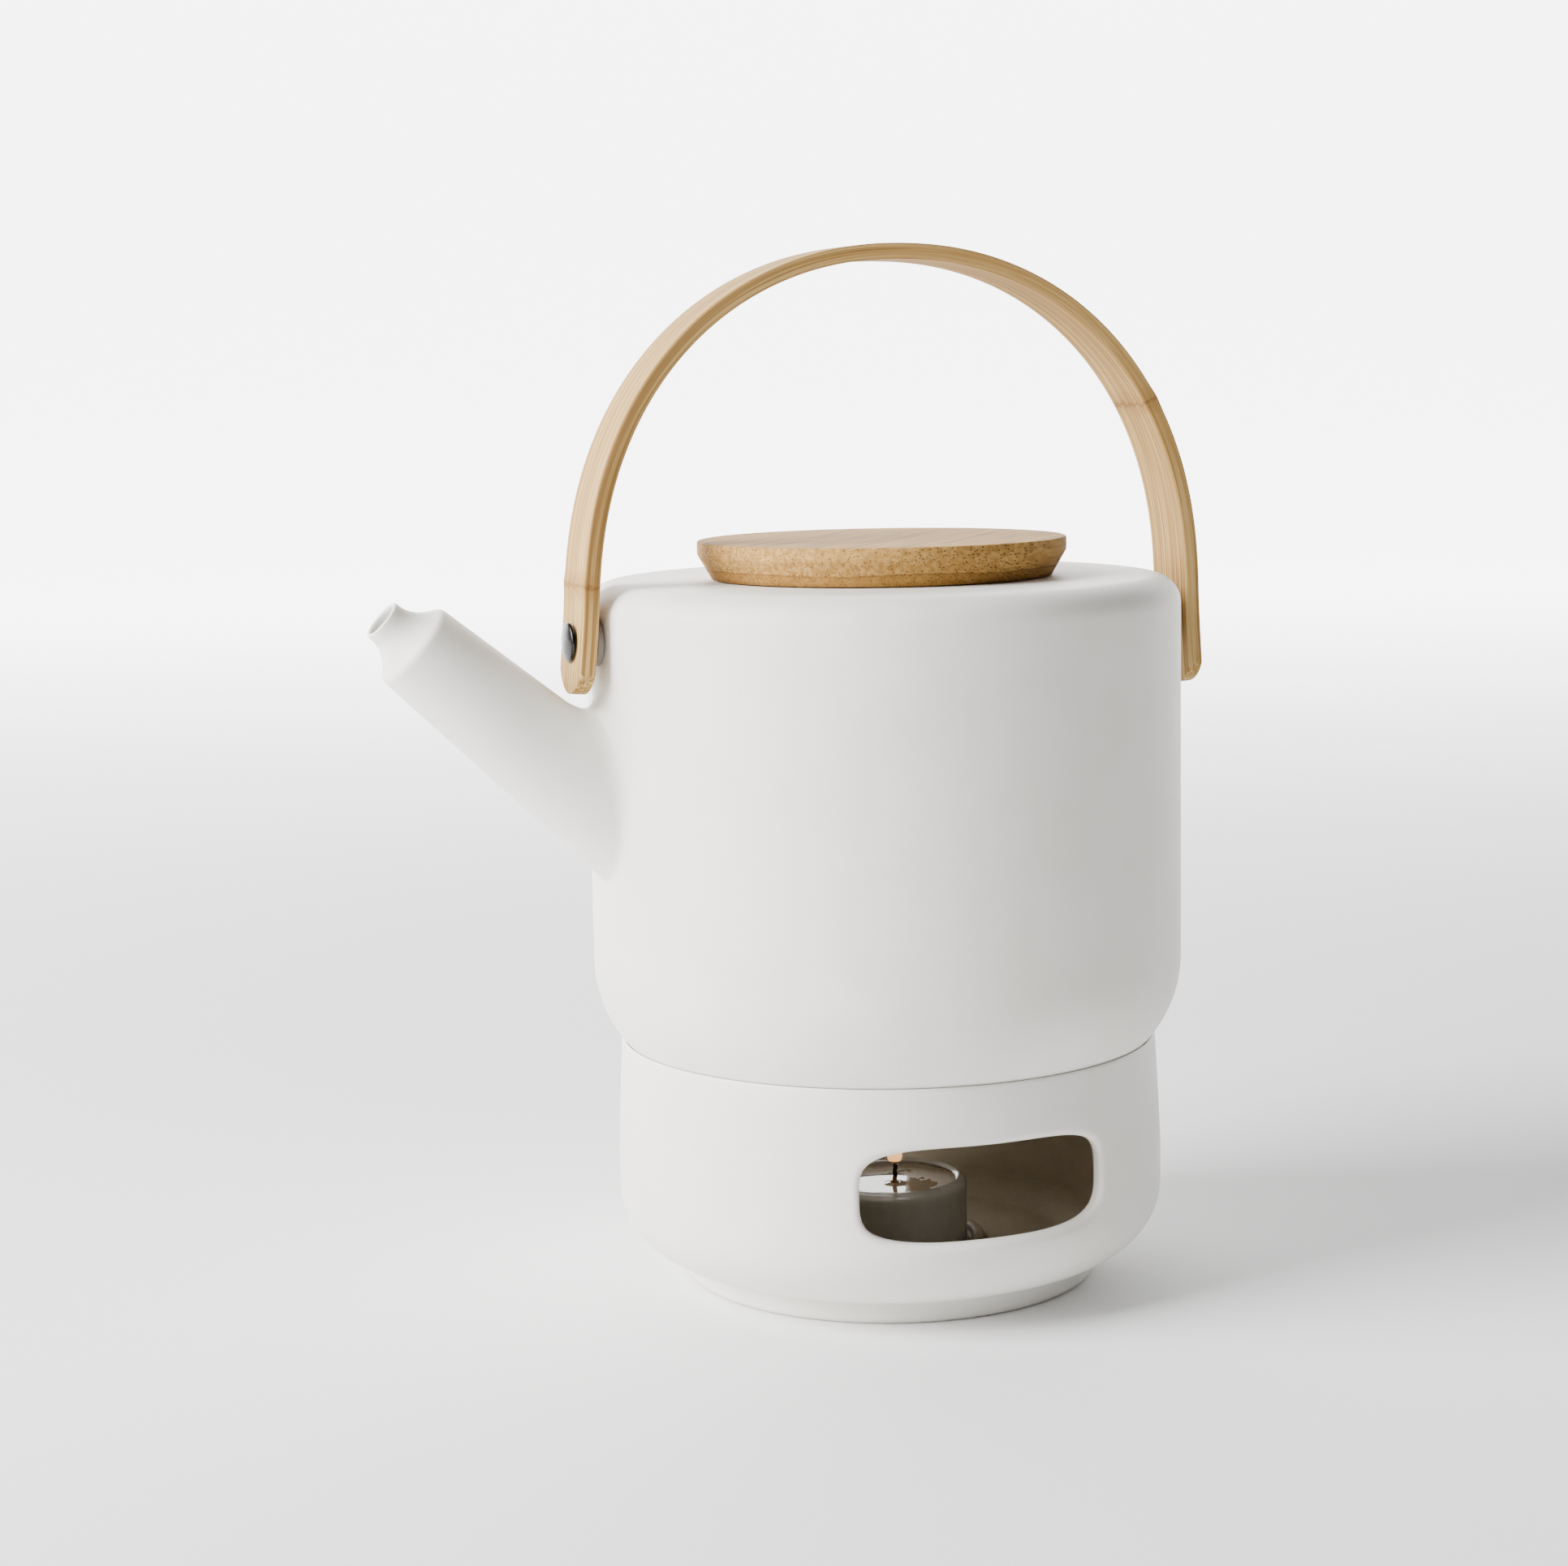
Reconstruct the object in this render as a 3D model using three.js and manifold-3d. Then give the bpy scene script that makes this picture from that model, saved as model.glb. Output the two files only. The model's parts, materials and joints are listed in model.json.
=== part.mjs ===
// A stoneware teapot with a bent bamboo bail handle, standing on a tealight warmer.
// Millimetres, +Z up. The origin is on the pot's axis, in the plane that the warmer stands on.
// The spout points towards -X, the handle lies in the XZ plane, and the warmer's windows face -Y and +Y.

import * as THREE from 'three';
import { mergeVertices } from 'three/addons/utils/BufferGeometryUtils.js';
import Module from 'manifold-3d';

const wasm = await Module();
wasm.setup();

// Clearance between pieces that touch, and the number of sides of round pieces.
const GAP = 0.3;
const LARGE_ROUND = 56;
const MEDIUM_ROUND = 28;
const SMALL_ROUND = 16;

// Warmer: a shallow stoneware bowl on a foot.
const FOOT_RADIUS = 51.5;
const FOOT_HEIGHT = 6;
const FOOT_EDGE = 1.2;
const WARMER_RADIUS = 67.7;
const WARMER_RIM_RADIUS = 66.3;
const WARMER_RIM_TOP = 60.4;
const WARMER_CORNER = 17;
const WARMER_WALL = 4.2;
const WARMER_STRAIGHT_TOP = 33;
const WARMER_FLOOR_TOP = 6;
const WARMER_FLOOR_RADIUS = 44;
const CANDLE_RING_INNER = 20.6;
const CANDLE_RING_OUTER = 23.8;
const CANDLE_RING_HEIGHT = 2;
const WINDOW_BOTTOM = 23.55;
const WINDOW_TOP = 46.15;
const WINDOW_HALF_WIDTH = 30.1;
const WINDOW_END_WIDTH = 27;
const WINDOW_POWER = 3.8;
const WINDOW_SHIFT = -1.1;

// Tealight.
const CUP_RADIUS = 19.4;
const CUP_HEIGHT = 16.5;
const CUP_WALL = 0.8;
const CUP_RIM_RADIUS = 17.4;
const CUP_SHOULDER = 2.8;
const WAX_TOP = 20.9;
const WICK_RADIUS = 0.8;
const WICK_TOP = 25.5;
const WICK_SHIFT = 1.4;
const SUSTAINER_RADIUS = 6;
const SUSTAINER_THICKNESS = 0.5;
const SUSTAINER_NECK_RADIUS = 1.9;
const SUSTAINER_NECK_HEIGHT = 3.5;

// Pot.
const POT_RADIUS = 72.8;
const POT_BOTTOM = 50;
const POT_TOP = 173.5;
const POT_WALL = 4.2;
const POT_CORNER = 30;
const POT_SPLIT = POT_BOTTOM + POT_CORNER;
const POT_SHOULDER = 7;
const MOUTH_RADIUS = 38.5;
const MOUTH_EDGE = 0.8;
const LEDGE_RADIUS = 35.6;
const LEDGE_TOP = 166.5;
const LEDGE_THICKNESS = 4;
const COLLAR_RADIUS = 42;

// Spout: a straight cone, then a short waisted tip with a small pouring lip.
const SPOUT_START_X = -66.4;
const SPOUT_START_Z = 117.1;
const SPOUT_RISE_DEG = 41.2;
const SPOUT_ROOT_RADIUS = 14.4;
const SPOUT_RING_RADIUS = 10.85;
const SPOUT_RING_AT = 68.4;
const SPOUT_LIP_RADIUS = 5.2;
const SPOUT_LENGTH = 78;
const SPOUT_HOLE_RADIUS = 4;
const SPOUT_WALL = 3.6;
const SPOUT_INSIDE = 10;

// Handle: one bent strip, an inner half superellipse that runs down into slightly splayed legs.
// The bent strip sits a little towards +X and leans that way, and its right leg is the longer one.
const STRAP_WIDTH = 18;
const STRAP_THICKNESS = 3.8;
const ARCH_HALF_SPAN = 76.5;
const ARCH_BASE = 169;
const ARCH_RISE = 81;
const ARCH_POWER = 2.13;
const LEG_SPLAY = 0.085;
const SPLAY_BLEND = 6;
const HANDLE_LEAN_DEG = 1;
const HANDLE_SHIFT = 2.05;
const PIVOT_Z = 161;
const LEFT_LEG_END = 148.4;
const RIGHT_LEG_END = 143.3;
const LEG_END_ROUND = 5.5;
const STRAP_HOLE_RADIUS = 2.5;

// Pivot screws, and the pieces stacked on each of them.
const SHANK_RADIUS = 2.2;
const SCREW_HOLE_RADIUS = 2.7;
const HEAD_RADIUS = 4.8;
const HEAD_EDGE = 0.4;
const HEAD_HEIGHT = 1.3;
const SPACER_RADIUS = 6;
const STACK_BORE_RADIUS = 2.6;
const INNER_SEAL_THICKNESS = 1.2;
const INNER_WASHER_RADIUS = 5.5;
const INNER_WASHER_THICKNESS = 0.8;
const NUT_RADIUS = 4;
const NUT_LENGTH = 5.2;
const NUT_END = 1.5;

// Lid.
const LID_RADIUS = 45.2;
const LID_UNDERSIDE_RADIUS = 41.7;
const LID_TOP = 183;
const LID_SIDE = 3.2;
const LID_EDGE = 0.5;
const PLUG_RADIUS = 36.9;
const PLUG_BOTTOM = 168.3;
const PLUG_LIP = 1.7;
const GROOVE_RADIUS = 35;
const SEAL_RADIUS = 38.1;
const SEAL_HEIGHT = 2.9;

// Infuser basket, hung in the mouth by its rim.
const INFUSER_RIM_RADIUS = 38;
const INFUSER_RIM_INNER = 33;
const INFUSER_RIM_THICKNESS = 1;
const BASKET_RADIUS = 34.6;
const BASKET_FLOOR_RADIUS = 31;
const BASKET_BOTTOM = 112;
const BASKET_WALL = 0.6;
const BASKET_HOLE_RADIUS = 1.4;
const BASKET_HOLE_COLUMNS = 10;
const BASKET_HOLE_ROWS = 4;

// ---------------------------------------------------------------- helpers

const point = (r, z) => new THREE.Vector2(r, z);

function arc(centreR, centreZ, radius, fromDeg, toDeg, steps) {
  return Array.from({ length: steps + 1 }, (_, i) => {
    const angle = THREE.MathUtils.degToRad(fromDeg + (toDeg - fromDeg) * i / steps);
    return point(centreR + radius * Math.cos(angle), centreZ + radius * Math.sin(angle));
  });
}

// A closed geometry as a solid that can be joined and cut.
function solid(geometry) {
  geometry.deleteAttribute('normal');
  geometry.deleteAttribute('uv');
  const merged = mergeVertices(geometry, 1e-4);
  const index = merged.index.array;
  const triangles = [];
  for (let i = 0; i < index.length; i += 3) {
    const [a, b, c] = index.slice(i, i + 3);
    if (a !== b && b !== c && c !== a) triangles.push(a, b, c);
  }
  return new wasm.Manifold(new wasm.Mesh({
    numProp: 3,
    vertProperties: new Float32Array(merged.attributes.position.array),
    triVerts: new Uint32Array(triangles),
  }));
}

function geometryOf(body) {
  const mesh = body.getMesh();
  const geometry = new THREE.BufferGeometry();
  geometry.setAttribute('position', new THREE.BufferAttribute(mesh.vertProperties, 3));
  geometry.setIndex(new THREE.BufferAttribute(mesh.triVerts, 1));
  geometry.computeVertexNormals();
  return geometry;
}

// A body of revolution about +Z. Its profile runs from the bottom outwards, up and back in.
function turned(profile, sides) {
  return new THREE.LatheGeometry(profile, sides).rotateX(Math.PI / 2);
}

// A straight ring or disc with a square section.
function ring(inner, outer, bottom, top, sides) {
  const profile = [
    point(inner, bottom), point(outer, bottom), point(outer, top), point(inner, top), point(inner, bottom),
  ];
  return turned(profile, sides);
}

// A round bar between two heights on +Z, used for holes.
function bar(radius, bottom, top, sides) {
  const length = top - bottom;
  return new THREE.CylinderGeometry(radius, radius, length, sides)
    .rotateX(Math.PI / 2)
    .translate(0, 0, bottom + length / 2);
}

// Turns a geometry built along +Z to lie along the pivot, outwards on the side +1 or -1.
function ontoPivot(geometry, side) {
  return geometry.rotateY(side * Math.PI / 2).translate(0, 0, PIVOT_Z);
}

const finishes = {
  stoneware: { color: 0xe9e8e6, roughness: 0.62, metalness: 0 },
  bamboo: { color: 0xcfa878, roughness: 0.5, metalness: 0 },
  silicone: { color: 0xd9d6cf, roughness: 0.75, metalness: 0 },
  darkSteel: { color: 0x54504b, roughness: 0.35, metalness: 0.9 },
  steel: { color: 0xb9babb, roughness: 0.3, metalness: 1 },
  clearCup: { color: 0xb9b2a6, roughness: 0.25, metalness: 0 },
  wax: { color: 0xe6dfd0, roughness: 0.4, metalness: 0 },
  cotton: { color: 0x4a3c2c, roughness: 0.9, metalness: 0 },
};

const kettle = new THREE.Group();

function add(name, body, finish) {
  const mesh = new THREE.Mesh(geometryOf(body), new THREE.MeshStandardMaterial(finishes[finish]));
  mesh.name = name;
  kettle.add(mesh);
}

// ---------------------------------------------------------------- warmer

// The seat follows the pot's rounded bottom corner, one gap below it.
function seatZ(r) {
  const reach = r - (POT_RADIUS - POT_CORNER);
  return POT_BOTTOM + POT_CORNER - Math.sqrt((POT_CORNER + GAP) ** 2 - reach ** 2);
}

function warmerProfile() {
  const cornerR = WARMER_RADIUS - WARMER_CORNER;
  const cornerZ = FOOT_HEIGHT + WARMER_CORNER;
  const innerCorner = WARMER_CORNER - WARMER_WALL;
  const seatInner = WARMER_RIM_RADIUS - WARMER_WALL;
  const seatOuter = WARMER_RIM_RADIUS - 0.7;
  const ringTop = WARMER_FLOOR_TOP + CANDLE_RING_HEIGHT;
  return [
    point(0, 0),
    ...arc(FOOT_RADIUS - FOOT_EDGE, FOOT_EDGE, FOOT_EDGE, -90, 0, 2),
    point(FOOT_RADIUS, FOOT_HEIGHT),
    ...arc(cornerR, cornerZ, WARMER_CORNER, -84, 0, 6),
    point(WARMER_RADIUS, WARMER_STRAIGHT_TOP),
    point(WARMER_RADIUS - 0.5, 45),
    point(WARMER_RIM_RADIUS + 0.1, WARMER_RIM_TOP - 0.9),
    point(WARMER_RIM_RADIUS - 0.2, WARMER_RIM_TOP),
    point(seatOuter, Math.min(WARMER_RIM_TOP, seatZ(seatOuter))),
    point((seatInner + seatOuter) / 2, seatZ((seatInner + seatOuter) / 2)),
    point(seatInner, seatZ(seatInner)),
    point(WARMER_RADIUS - WARMER_WALL, WARMER_STRAIGHT_TOP),
    ...arc(cornerR, cornerZ, innerCorner, 0, -90, 4),
    point(WARMER_FLOOR_RADIUS, WARMER_FLOOR_TOP),
    point(CANDLE_RING_OUTER, WARMER_FLOOR_TOP),
    point(CANDLE_RING_OUTER - 0.5, ringTop),
    point(CANDLE_RING_INNER + 0.5, ringTop),
    point(CANDLE_RING_INNER, WARMER_FLOOR_TOP),
    point(0, WARMER_FLOOR_TOP),
  ];
}

// Both windows are one cut through the bowl: a wide slot whose ends are flattened half ellipses.
function windowCut() {
  const height = (WINDOW_TOP - WINDOW_BOTTOM) / 2;
  const middle = (WINDOW_TOP + WINDOW_BOTTOM) / 2;
  const straight = WINDOW_HALF_WIDTH - WINDOW_END_WIDTH;
  const steps = 12;
  const end = (side) => Array.from({ length: steps + 1 }, (_, i) => {
    const angle = Math.PI * (i / steps - 0.5);
    const across = Math.cos(angle) ** (2 / WINDOW_POWER);
    const up = Math.sign(Math.sin(angle)) * Math.abs(Math.sin(angle)) ** (2 / WINDOW_POWER);
    return point(side * (straight + WINDOW_END_WIDTH * across), middle + side * height * up);
  });
  const outline = new THREE.Shape([...end(1), ...end(-1)]);
  const length = 2 * WARMER_RADIUS + 10;
  return new THREE.ExtrudeGeometry(outline, { depth: length, bevelEnabled: false })
    .rotateX(Math.PI / 2)
    .translate(WINDOW_SHIFT, length / 2, 0);
}

function addWarmer() {
  const bowl = solid(turned(warmerProfile(), LARGE_ROUND));
  add('warmer_body', bowl.subtract(solid(windowCut())), 'stoneware');
}

// ---------------------------------------------------------------- tealight

// The quarter ellipse by which the cup narrows to its rim, from a wall radius up to a rim radius.
function cupShoulder(wallRadius, rimRadius, rimZ) {
  const bottom = WARMER_FLOOR_TOP + GAP + CUP_HEIGHT - CUP_SHOULDER;
  const steps = 4;
  return Array.from({ length: steps + 1 }, (_, i) => {
    const angle = Math.PI / 2 * i / steps;
    return point(
      rimRadius + (wallRadius - rimRadius) * Math.cos(angle),
      bottom + (rimZ - bottom) * Math.sin(angle),
    );
  });
}

function addTealight() {
  const cupBottom = WARMER_FLOOR_TOP + GAP;
  const cupFloor = cupBottom + CUP_WALL;
  const cupTop = cupBottom + CUP_HEIGHT;
  const inner = CUP_RADIUS - CUP_WALL;
  const innerRim = CUP_RIM_RADIUS - 0.6;
  const innerShoulder = cupShoulder(inner, innerRim, cupTop - CUP_WALL);
  const cup = [
    point(0, cupBottom), point(CUP_RADIUS - 0.6, cupBottom), point(CUP_RADIUS, cupBottom + 0.6),
    ...cupShoulder(CUP_RADIUS, CUP_RIM_RADIUS, cupTop), point(innerRim, cupTop),
    ...innerShoulder.reverse(), point(inner, cupFloor), point(0, cupFloor),
  ];
  add('tealight_cup', solid(turned(cup, MEDIUM_ROUND)), 'clearCup');

  const discBottom = cupFloor + GAP;
  const discTop = discBottom + SUSTAINER_THICKNESS;
  const neckTop = discTop + SUSTAINER_NECK_HEIGHT;
  const wickBore = WICK_RADIUS + GAP;
  const sustainer = [
    point(wickBore, discBottom), point(SUSTAINER_RADIUS, discBottom), point(SUSTAINER_RADIUS, discTop),
    point(SUSTAINER_NECK_RADIUS, discTop), point(SUSTAINER_NECK_RADIUS, neckTop),
    point(wickBore, neckTop), point(wickBore, discBottom),
  ];
  add('wick_sustainer', solid(turned(sustainer, SMALL_ROUND).translate(WICK_SHIFT, 0, 0)), 'steel');

  // The wax fills the cup to just above the foot of its shoulder, and leaves room for wick and sustainer.
  const waxRadius = inner - GAP;
  const wax = [
    point(0, discBottom), point(waxRadius, discBottom), point(waxRadius, cupTop - CUP_SHOULDER),
    point(waxRadius - 0.3, WAX_TOP), point(0, WAX_TOP),
  ];
  const recessRadius = SUSTAINER_RADIUS + GAP;
  const neckBore = SUSTAINER_NECK_RADIUS + GAP;
  const recess = [
    point(0, discBottom - 1), point(recessRadius, discBottom - 1), point(recessRadius, discTop + GAP),
    point(neckBore, discTop + GAP), point(neckBore, neckTop + GAP), point(wickBore, neckTop + GAP),
    point(wickBore, WAX_TOP + 1), point(0, WAX_TOP + 1),
  ];
  const cut = solid(turned(recess, SMALL_ROUND).translate(WICK_SHIFT, 0, 0));
  add('tealight_wax', solid(turned(wax, MEDIUM_ROUND)).subtract(cut), 'wax');

  add('tealight_wick', solid(bar(WICK_RADIUS, discBottom, WICK_TOP, 8).translate(WICK_SHIFT, 0, 0)), 'cotton');
}

// ---------------------------------------------------------------- pot

function potOuterProfile() {
  const cornerR = POT_RADIUS - POT_CORNER;
  const shoulderR = POT_RADIUS - POT_SHOULDER;
  return [
    point(0, POT_BOTTOM),
    ...arc(cornerR, POT_BOTTOM + POT_CORNER, POT_CORNER, -90, 0, 8),
    ...arc(shoulderR, POT_TOP - POT_SHOULDER, POT_SHOULDER, 0, 90, 4),
    point(0, POT_TOP),
  ];
}

function potCavityProfile() {
  const cornerR = POT_RADIUS - POT_CORNER;
  const shoulderR = POT_RADIUS - POT_SHOULDER;
  const innerCorner = POT_CORNER - POT_WALL;
  const innerShoulder = POT_SHOULDER - POT_WALL;
  const ledgeBottom = LEDGE_TOP - LEDGE_THICKNESS;
  return [
    point(0, POT_BOTTOM + POT_WALL),
    ...arc(cornerR, POT_BOTTOM + POT_CORNER, innerCorner, -90, 0, 5),
    ...arc(shoulderR, POT_TOP - POT_SHOULDER, innerShoulder, 0, 90, 2),
    point(COLLAR_RADIUS + 2, POT_TOP - POT_WALL),
    point(COLLAR_RADIUS, ledgeBottom),
    point(LEDGE_RADIUS, ledgeBottom),
    point(LEDGE_RADIUS, LEDGE_TOP),
    point(MOUTH_RADIUS, LEDGE_TOP),
    point(MOUTH_RADIUS, POT_TOP - MOUTH_EDGE),
    point(MOUTH_RADIUS + MOUTH_EDGE, POT_TOP),
    point(MOUTH_RADIUS + MOUTH_EDGE, POT_TOP + 1),
    point(0, POT_TOP + 1),
  ];
}

// Lays a geometry built along +Z along the spout.
function alongSpout(geometry) {
  const lean = THREE.MathUtils.degToRad(SPOUT_RISE_DEG - 90);
  return geometry.rotateY(lean).translate(SPOUT_START_X, 0, SPOUT_START_Z);
}

// The tip narrows from the ring to the lip in a concave curve.
function spoutTip() {
  const neckLength = SPOUT_LENGTH - SPOUT_RING_AT - 1;
  const steps = 5;
  return Array.from({ length: steps + 1 }, (_, i) => {
    const along = i / steps;
    const fall = (1 - along) ** 2.4;
    const radius = SPOUT_LIP_RADIUS + (SPOUT_RING_RADIUS - 0.6 - SPOUT_LIP_RADIUS) * fall;
    return point(radius, SPOUT_RING_AT + 0.6 + neckLength * along);
  });
}

const SPOUT_TAPER = (SPOUT_ROOT_RADIUS - SPOUT_RING_RADIUS) / SPOUT_RING_AT;

function spoutOuterProfile() {
  return [
    point(0, -SPOUT_INSIDE),
    point(SPOUT_ROOT_RADIUS + SPOUT_TAPER * SPOUT_INSIDE, -SPOUT_INSIDE),
    point(SPOUT_RING_RADIUS, SPOUT_RING_AT),
    ...spoutTip(),
    point(SPOUT_LIP_RADIUS - 0.4, SPOUT_LENGTH),
    point(0, SPOUT_LENGTH),
  ];
}

function spoutBoreProfile() {
  const start = SPOUT_ROOT_RADIUS - SPOUT_WALL + SPOUT_TAPER * SPOUT_INSIDE;
  const end = SPOUT_RING_RADIUS - SPOUT_WALL;
  return [
    point(0, -SPOUT_INSIDE),
    point(start, -SPOUT_INSIDE),
    point(end, SPOUT_RING_AT - 3),
    point(SPOUT_HOLE_RADIUS, SPOUT_RING_AT + 2),
    point(SPOUT_HOLE_RADIUS, SPOUT_LENGTH + 2),
    point(0, SPOUT_LENGTH + 2),
  ];
}

// The pot is made in three pieces: its rounded base, its wall with shoulder and mouth, and the spout
// that sits on the round wall.
function addPot() {
  const outside = solid(turned(potOuterProfile(), LARGE_ROUND));
  const cavity = solid(turned(potCavityProfile(), LARGE_ROUND));
  const cone = solid(alongSpout(turned(spoutOuterProfile(), MEDIUM_ROUND)));
  const bore = solid(alongSpout(turned(spoutBoreProfile(), MEDIUM_ROUND)));
  const wall = solid(turned([
    point(0, POT_BOTTOM), point(POT_RADIUS + GAP, POT_BOTTOM), point(POT_RADIUS + GAP, POT_TOP), point(0, POT_TOP),
  ], LARGE_ROUND));
  add('pot_spout', cone.subtract(wall).subtract(bore), 'stoneware');

  let pot = outside.subtract(cavity).subtract(bore);
  for (const side of [-1, 1]) {
    const hole = ontoPivot(bar(SCREW_HOLE_RADIUS, POT_RADIUS - 10, POT_RADIUS + 5, SMALL_ROUND), side);
    pot = pot.subtract(solid(hole));
  }
  const reach = POT_RADIUS + 5;
  const lower = solid(bar(reach, POT_BOTTOM - 1, POT_SPLIT, LARGE_ROUND));
  const upper = solid(bar(reach, POT_SPLIT + GAP, POT_TOP + 1, LARGE_ROUND));
  add('pot_base', pot.intersect(lower), 'stoneware');
  add('pot_body', pot.intersect(upper), 'stoneware');
}

// ---------------------------------------------------------------- handle

// The strip's inner line, from the left leg's end over the crown to the right leg's end.
function innerLine() {
  const archSteps = 22;
  const half = [RIGHT_LEG_END - 4, LEFT_LEG_END, PIVOT_Z].map((z) => point(ARCH_HALF_SPAN, z));
  for (let i = 0; i <= archSteps; i += 1) {
    const angle = Math.PI / 2 * i / archSteps;
    half.push(point(
      ARCH_HALF_SPAN * Math.cos(angle) ** (2 / ARCH_POWER),
      ARCH_BASE + ARCH_RISE * Math.sin(angle) ** (2 / ARCH_POWER),
    ));
  }
  for (const p of half) {
    p.x += LEG_SPLAY * SPLAY_BLEND * Math.log(1 + Math.exp((ARCH_BASE - p.y) / SPLAY_BLEND));
  }
  const crown = half[half.length - 1];
  crown.x = 0;
  const left = half.slice(0, -1).map((p) => point(-p.x, p.y));
  const lean = THREE.MathUtils.degToRad(-HANDLE_LEAN_DEG);
  return [...left, ...half.reverse()]
    .map((p) => p.rotateAround(point(0, ARCH_BASE), lean).add(point(HANDLE_SHIFT, 0)));
}

// The same line moved outwards by the strip's thickness.
function outerLine(inner) {
  return inner.map((p, i) => {
    const before = inner[Math.max(i - 1, 0)];
    const after = inner[Math.min(i + 1, inner.length - 1)];
    const along = after.clone().sub(before).normalize();
    return point(p.x - along.y * STRAP_THICKNESS, p.y + along.x * STRAP_THICKNESS);
  });
}

// One half of the strip's width with its rounded leg end, seen along X, on the side +1 or -1.
function strapSide(side, legEnd) {
  const half = STRAP_WIDTH / 2;
  const radius = (half ** 2 + LEG_END_ROUND ** 2) / (2 * LEG_END_ROUND);
  const spread = Math.asin(half / radius);
  const outline = new THREE.Shape();
  outline.absarc(0, legEnd + radius, radius, -Math.PI / 2 - spread, -Math.PI / 2 + spread, false);
  outline.lineTo(half, ARCH_BASE + ARCH_RISE + 20);
  outline.lineTo(-half, ARCH_BASE + ARCH_RISE + 20);
  outline.closePath();
  const length = ARCH_HALF_SPAN + 20;
  return new THREE.ExtrudeGeometry(outline, { depth: length, bevelEnabled: false, curveSegments: 10 })
    .rotateX(Math.PI / 2)
    .rotateZ(Math.PI / 2)
    .translate(side > 0 ? 0 : -length, 0, 0);
}

function addHandle() {
  const inner = innerLine();
  const outline = new THREE.Shape([...inner, ...outerLine(inner).reverse()]);
  const strip = new THREE.ExtrudeGeometry(outline, { depth: STRAP_WIDTH + 2, bevelEnabled: false })
    .rotateX(Math.PI / 2)
    .translate(0, STRAP_WIDTH / 2 + 1, 0);
  const reach = ARCH_HALF_SPAN + 20;
  const hole = bar(STRAP_HOLE_RADIUS, -reach, reach, SMALL_ROUND).rotateY(Math.PI / 2).translate(0, 0, PIVOT_Z);
  const sides = solid(strapSide(-1, LEFT_LEG_END)).add(solid(strapSide(1, RIGHT_LEG_END)));
  const strap = solid(strip).intersect(sides).subtract(solid(hole));
  add('handle_bail', strap, 'bamboo');
}

// ---------------------------------------------------------------- pivot screws

// Where the strap's inner face crosses the pivot's height: its distance from the axis, and how far
// it moves outwards per millimetre down.
function strapAtPivot(side) {
  const line = innerLine().filter((p) => side * p.x > ARCH_HALF_SPAN / 2).sort((a, b) => a.y - b.y);
  const next = line.findIndex((p) => p.y > PIVOT_Z);
  const [low, high] = [line[next - 1], line[next]];
  const slope = Math.abs(low.x - high.x) / (high.y - low.y);
  return { distance: Math.abs(high.x) + slope * (high.y - PIVOT_Z), slope };
}

function screwProfile(tip, headBase) {
  const dome = (HEAD_RADIUS ** 2 + (HEAD_HEIGHT - HEAD_EDGE) ** 2) / (2 * (HEAD_HEIGHT - HEAD_EDGE));
  const spread = THREE.MathUtils.radToDeg(Math.asin(HEAD_RADIUS / dome));
  return [
    point(0, tip),
    point(SHANK_RADIUS, tip),
    point(SHANK_RADIUS, headBase),
    point(HEAD_RADIUS, headBase),
    ...arc(0, headBase + HEAD_HEIGHT - dome, dome, 90 - spread, 90, 4),
  ];
}

function addPivot(side, suffix) {
  const strap = strapAtPivot(side);
  const headBase = strap.distance + STRAP_THICKNESS + strap.slope * HEAD_RADIUS + GAP;
  const spacerOuter = strap.distance - strap.slope * SPACER_RADIUS - GAP;
  const innerWall = Math.sqrt((POT_RADIUS - POT_WALL) ** 2 - SPACER_RADIUS ** 2);
  const sealOuter = innerWall - GAP;
  const washerOuter = sealOuter - INNER_SEAL_THICKNESS - GAP;
  const nutOuter = washerOuter - INNER_WASHER_THICKNESS - GAP;
  const nutBoreEnd = nutOuter - NUT_LENGTH + NUT_END;
  const place = (geometry) => solid(ontoPivot(geometry, side));

  add(`handle_screw_${suffix}`, place(turned(screwProfile(nutBoreEnd + GAP, headBase), SMALL_ROUND)), 'darkSteel');
  add(`handle_spacer_${suffix}`, place(ring(
    STACK_BORE_RADIUS, SPACER_RADIUS, POT_RADIUS + GAP, spacerOuter, SMALL_ROUND,
  )), 'silicone');
  add(`inner_seal_${suffix}`, place(ring(
    STACK_BORE_RADIUS, SPACER_RADIUS, sealOuter - INNER_SEAL_THICKNESS, sealOuter, SMALL_ROUND,
  )), 'silicone');
  add(`inner_washer_${suffix}`, place(ring(
    STACK_BORE_RADIUS, INNER_WASHER_RADIUS, washerOuter - INNER_WASHER_THICKNESS, washerOuter, SMALL_ROUND,
  )), 'steel');

  const nut = [
    point(0, nutOuter - NUT_LENGTH), point(NUT_RADIUS - 1.5, nutOuter - NUT_LENGTH + 0.3),
    point(NUT_RADIUS, nutOuter - NUT_LENGTH + 2), point(NUT_RADIUS, nutOuter),
    point(STACK_BORE_RADIUS, nutOuter), point(STACK_BORE_RADIUS, nutBoreEnd), point(0, nutBoreEnd),
  ];
  add(`cap_nut_${suffix}`, place(turned(nut, SMALL_ROUND)), 'steel');
}

// ---------------------------------------------------------------- lid

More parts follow.
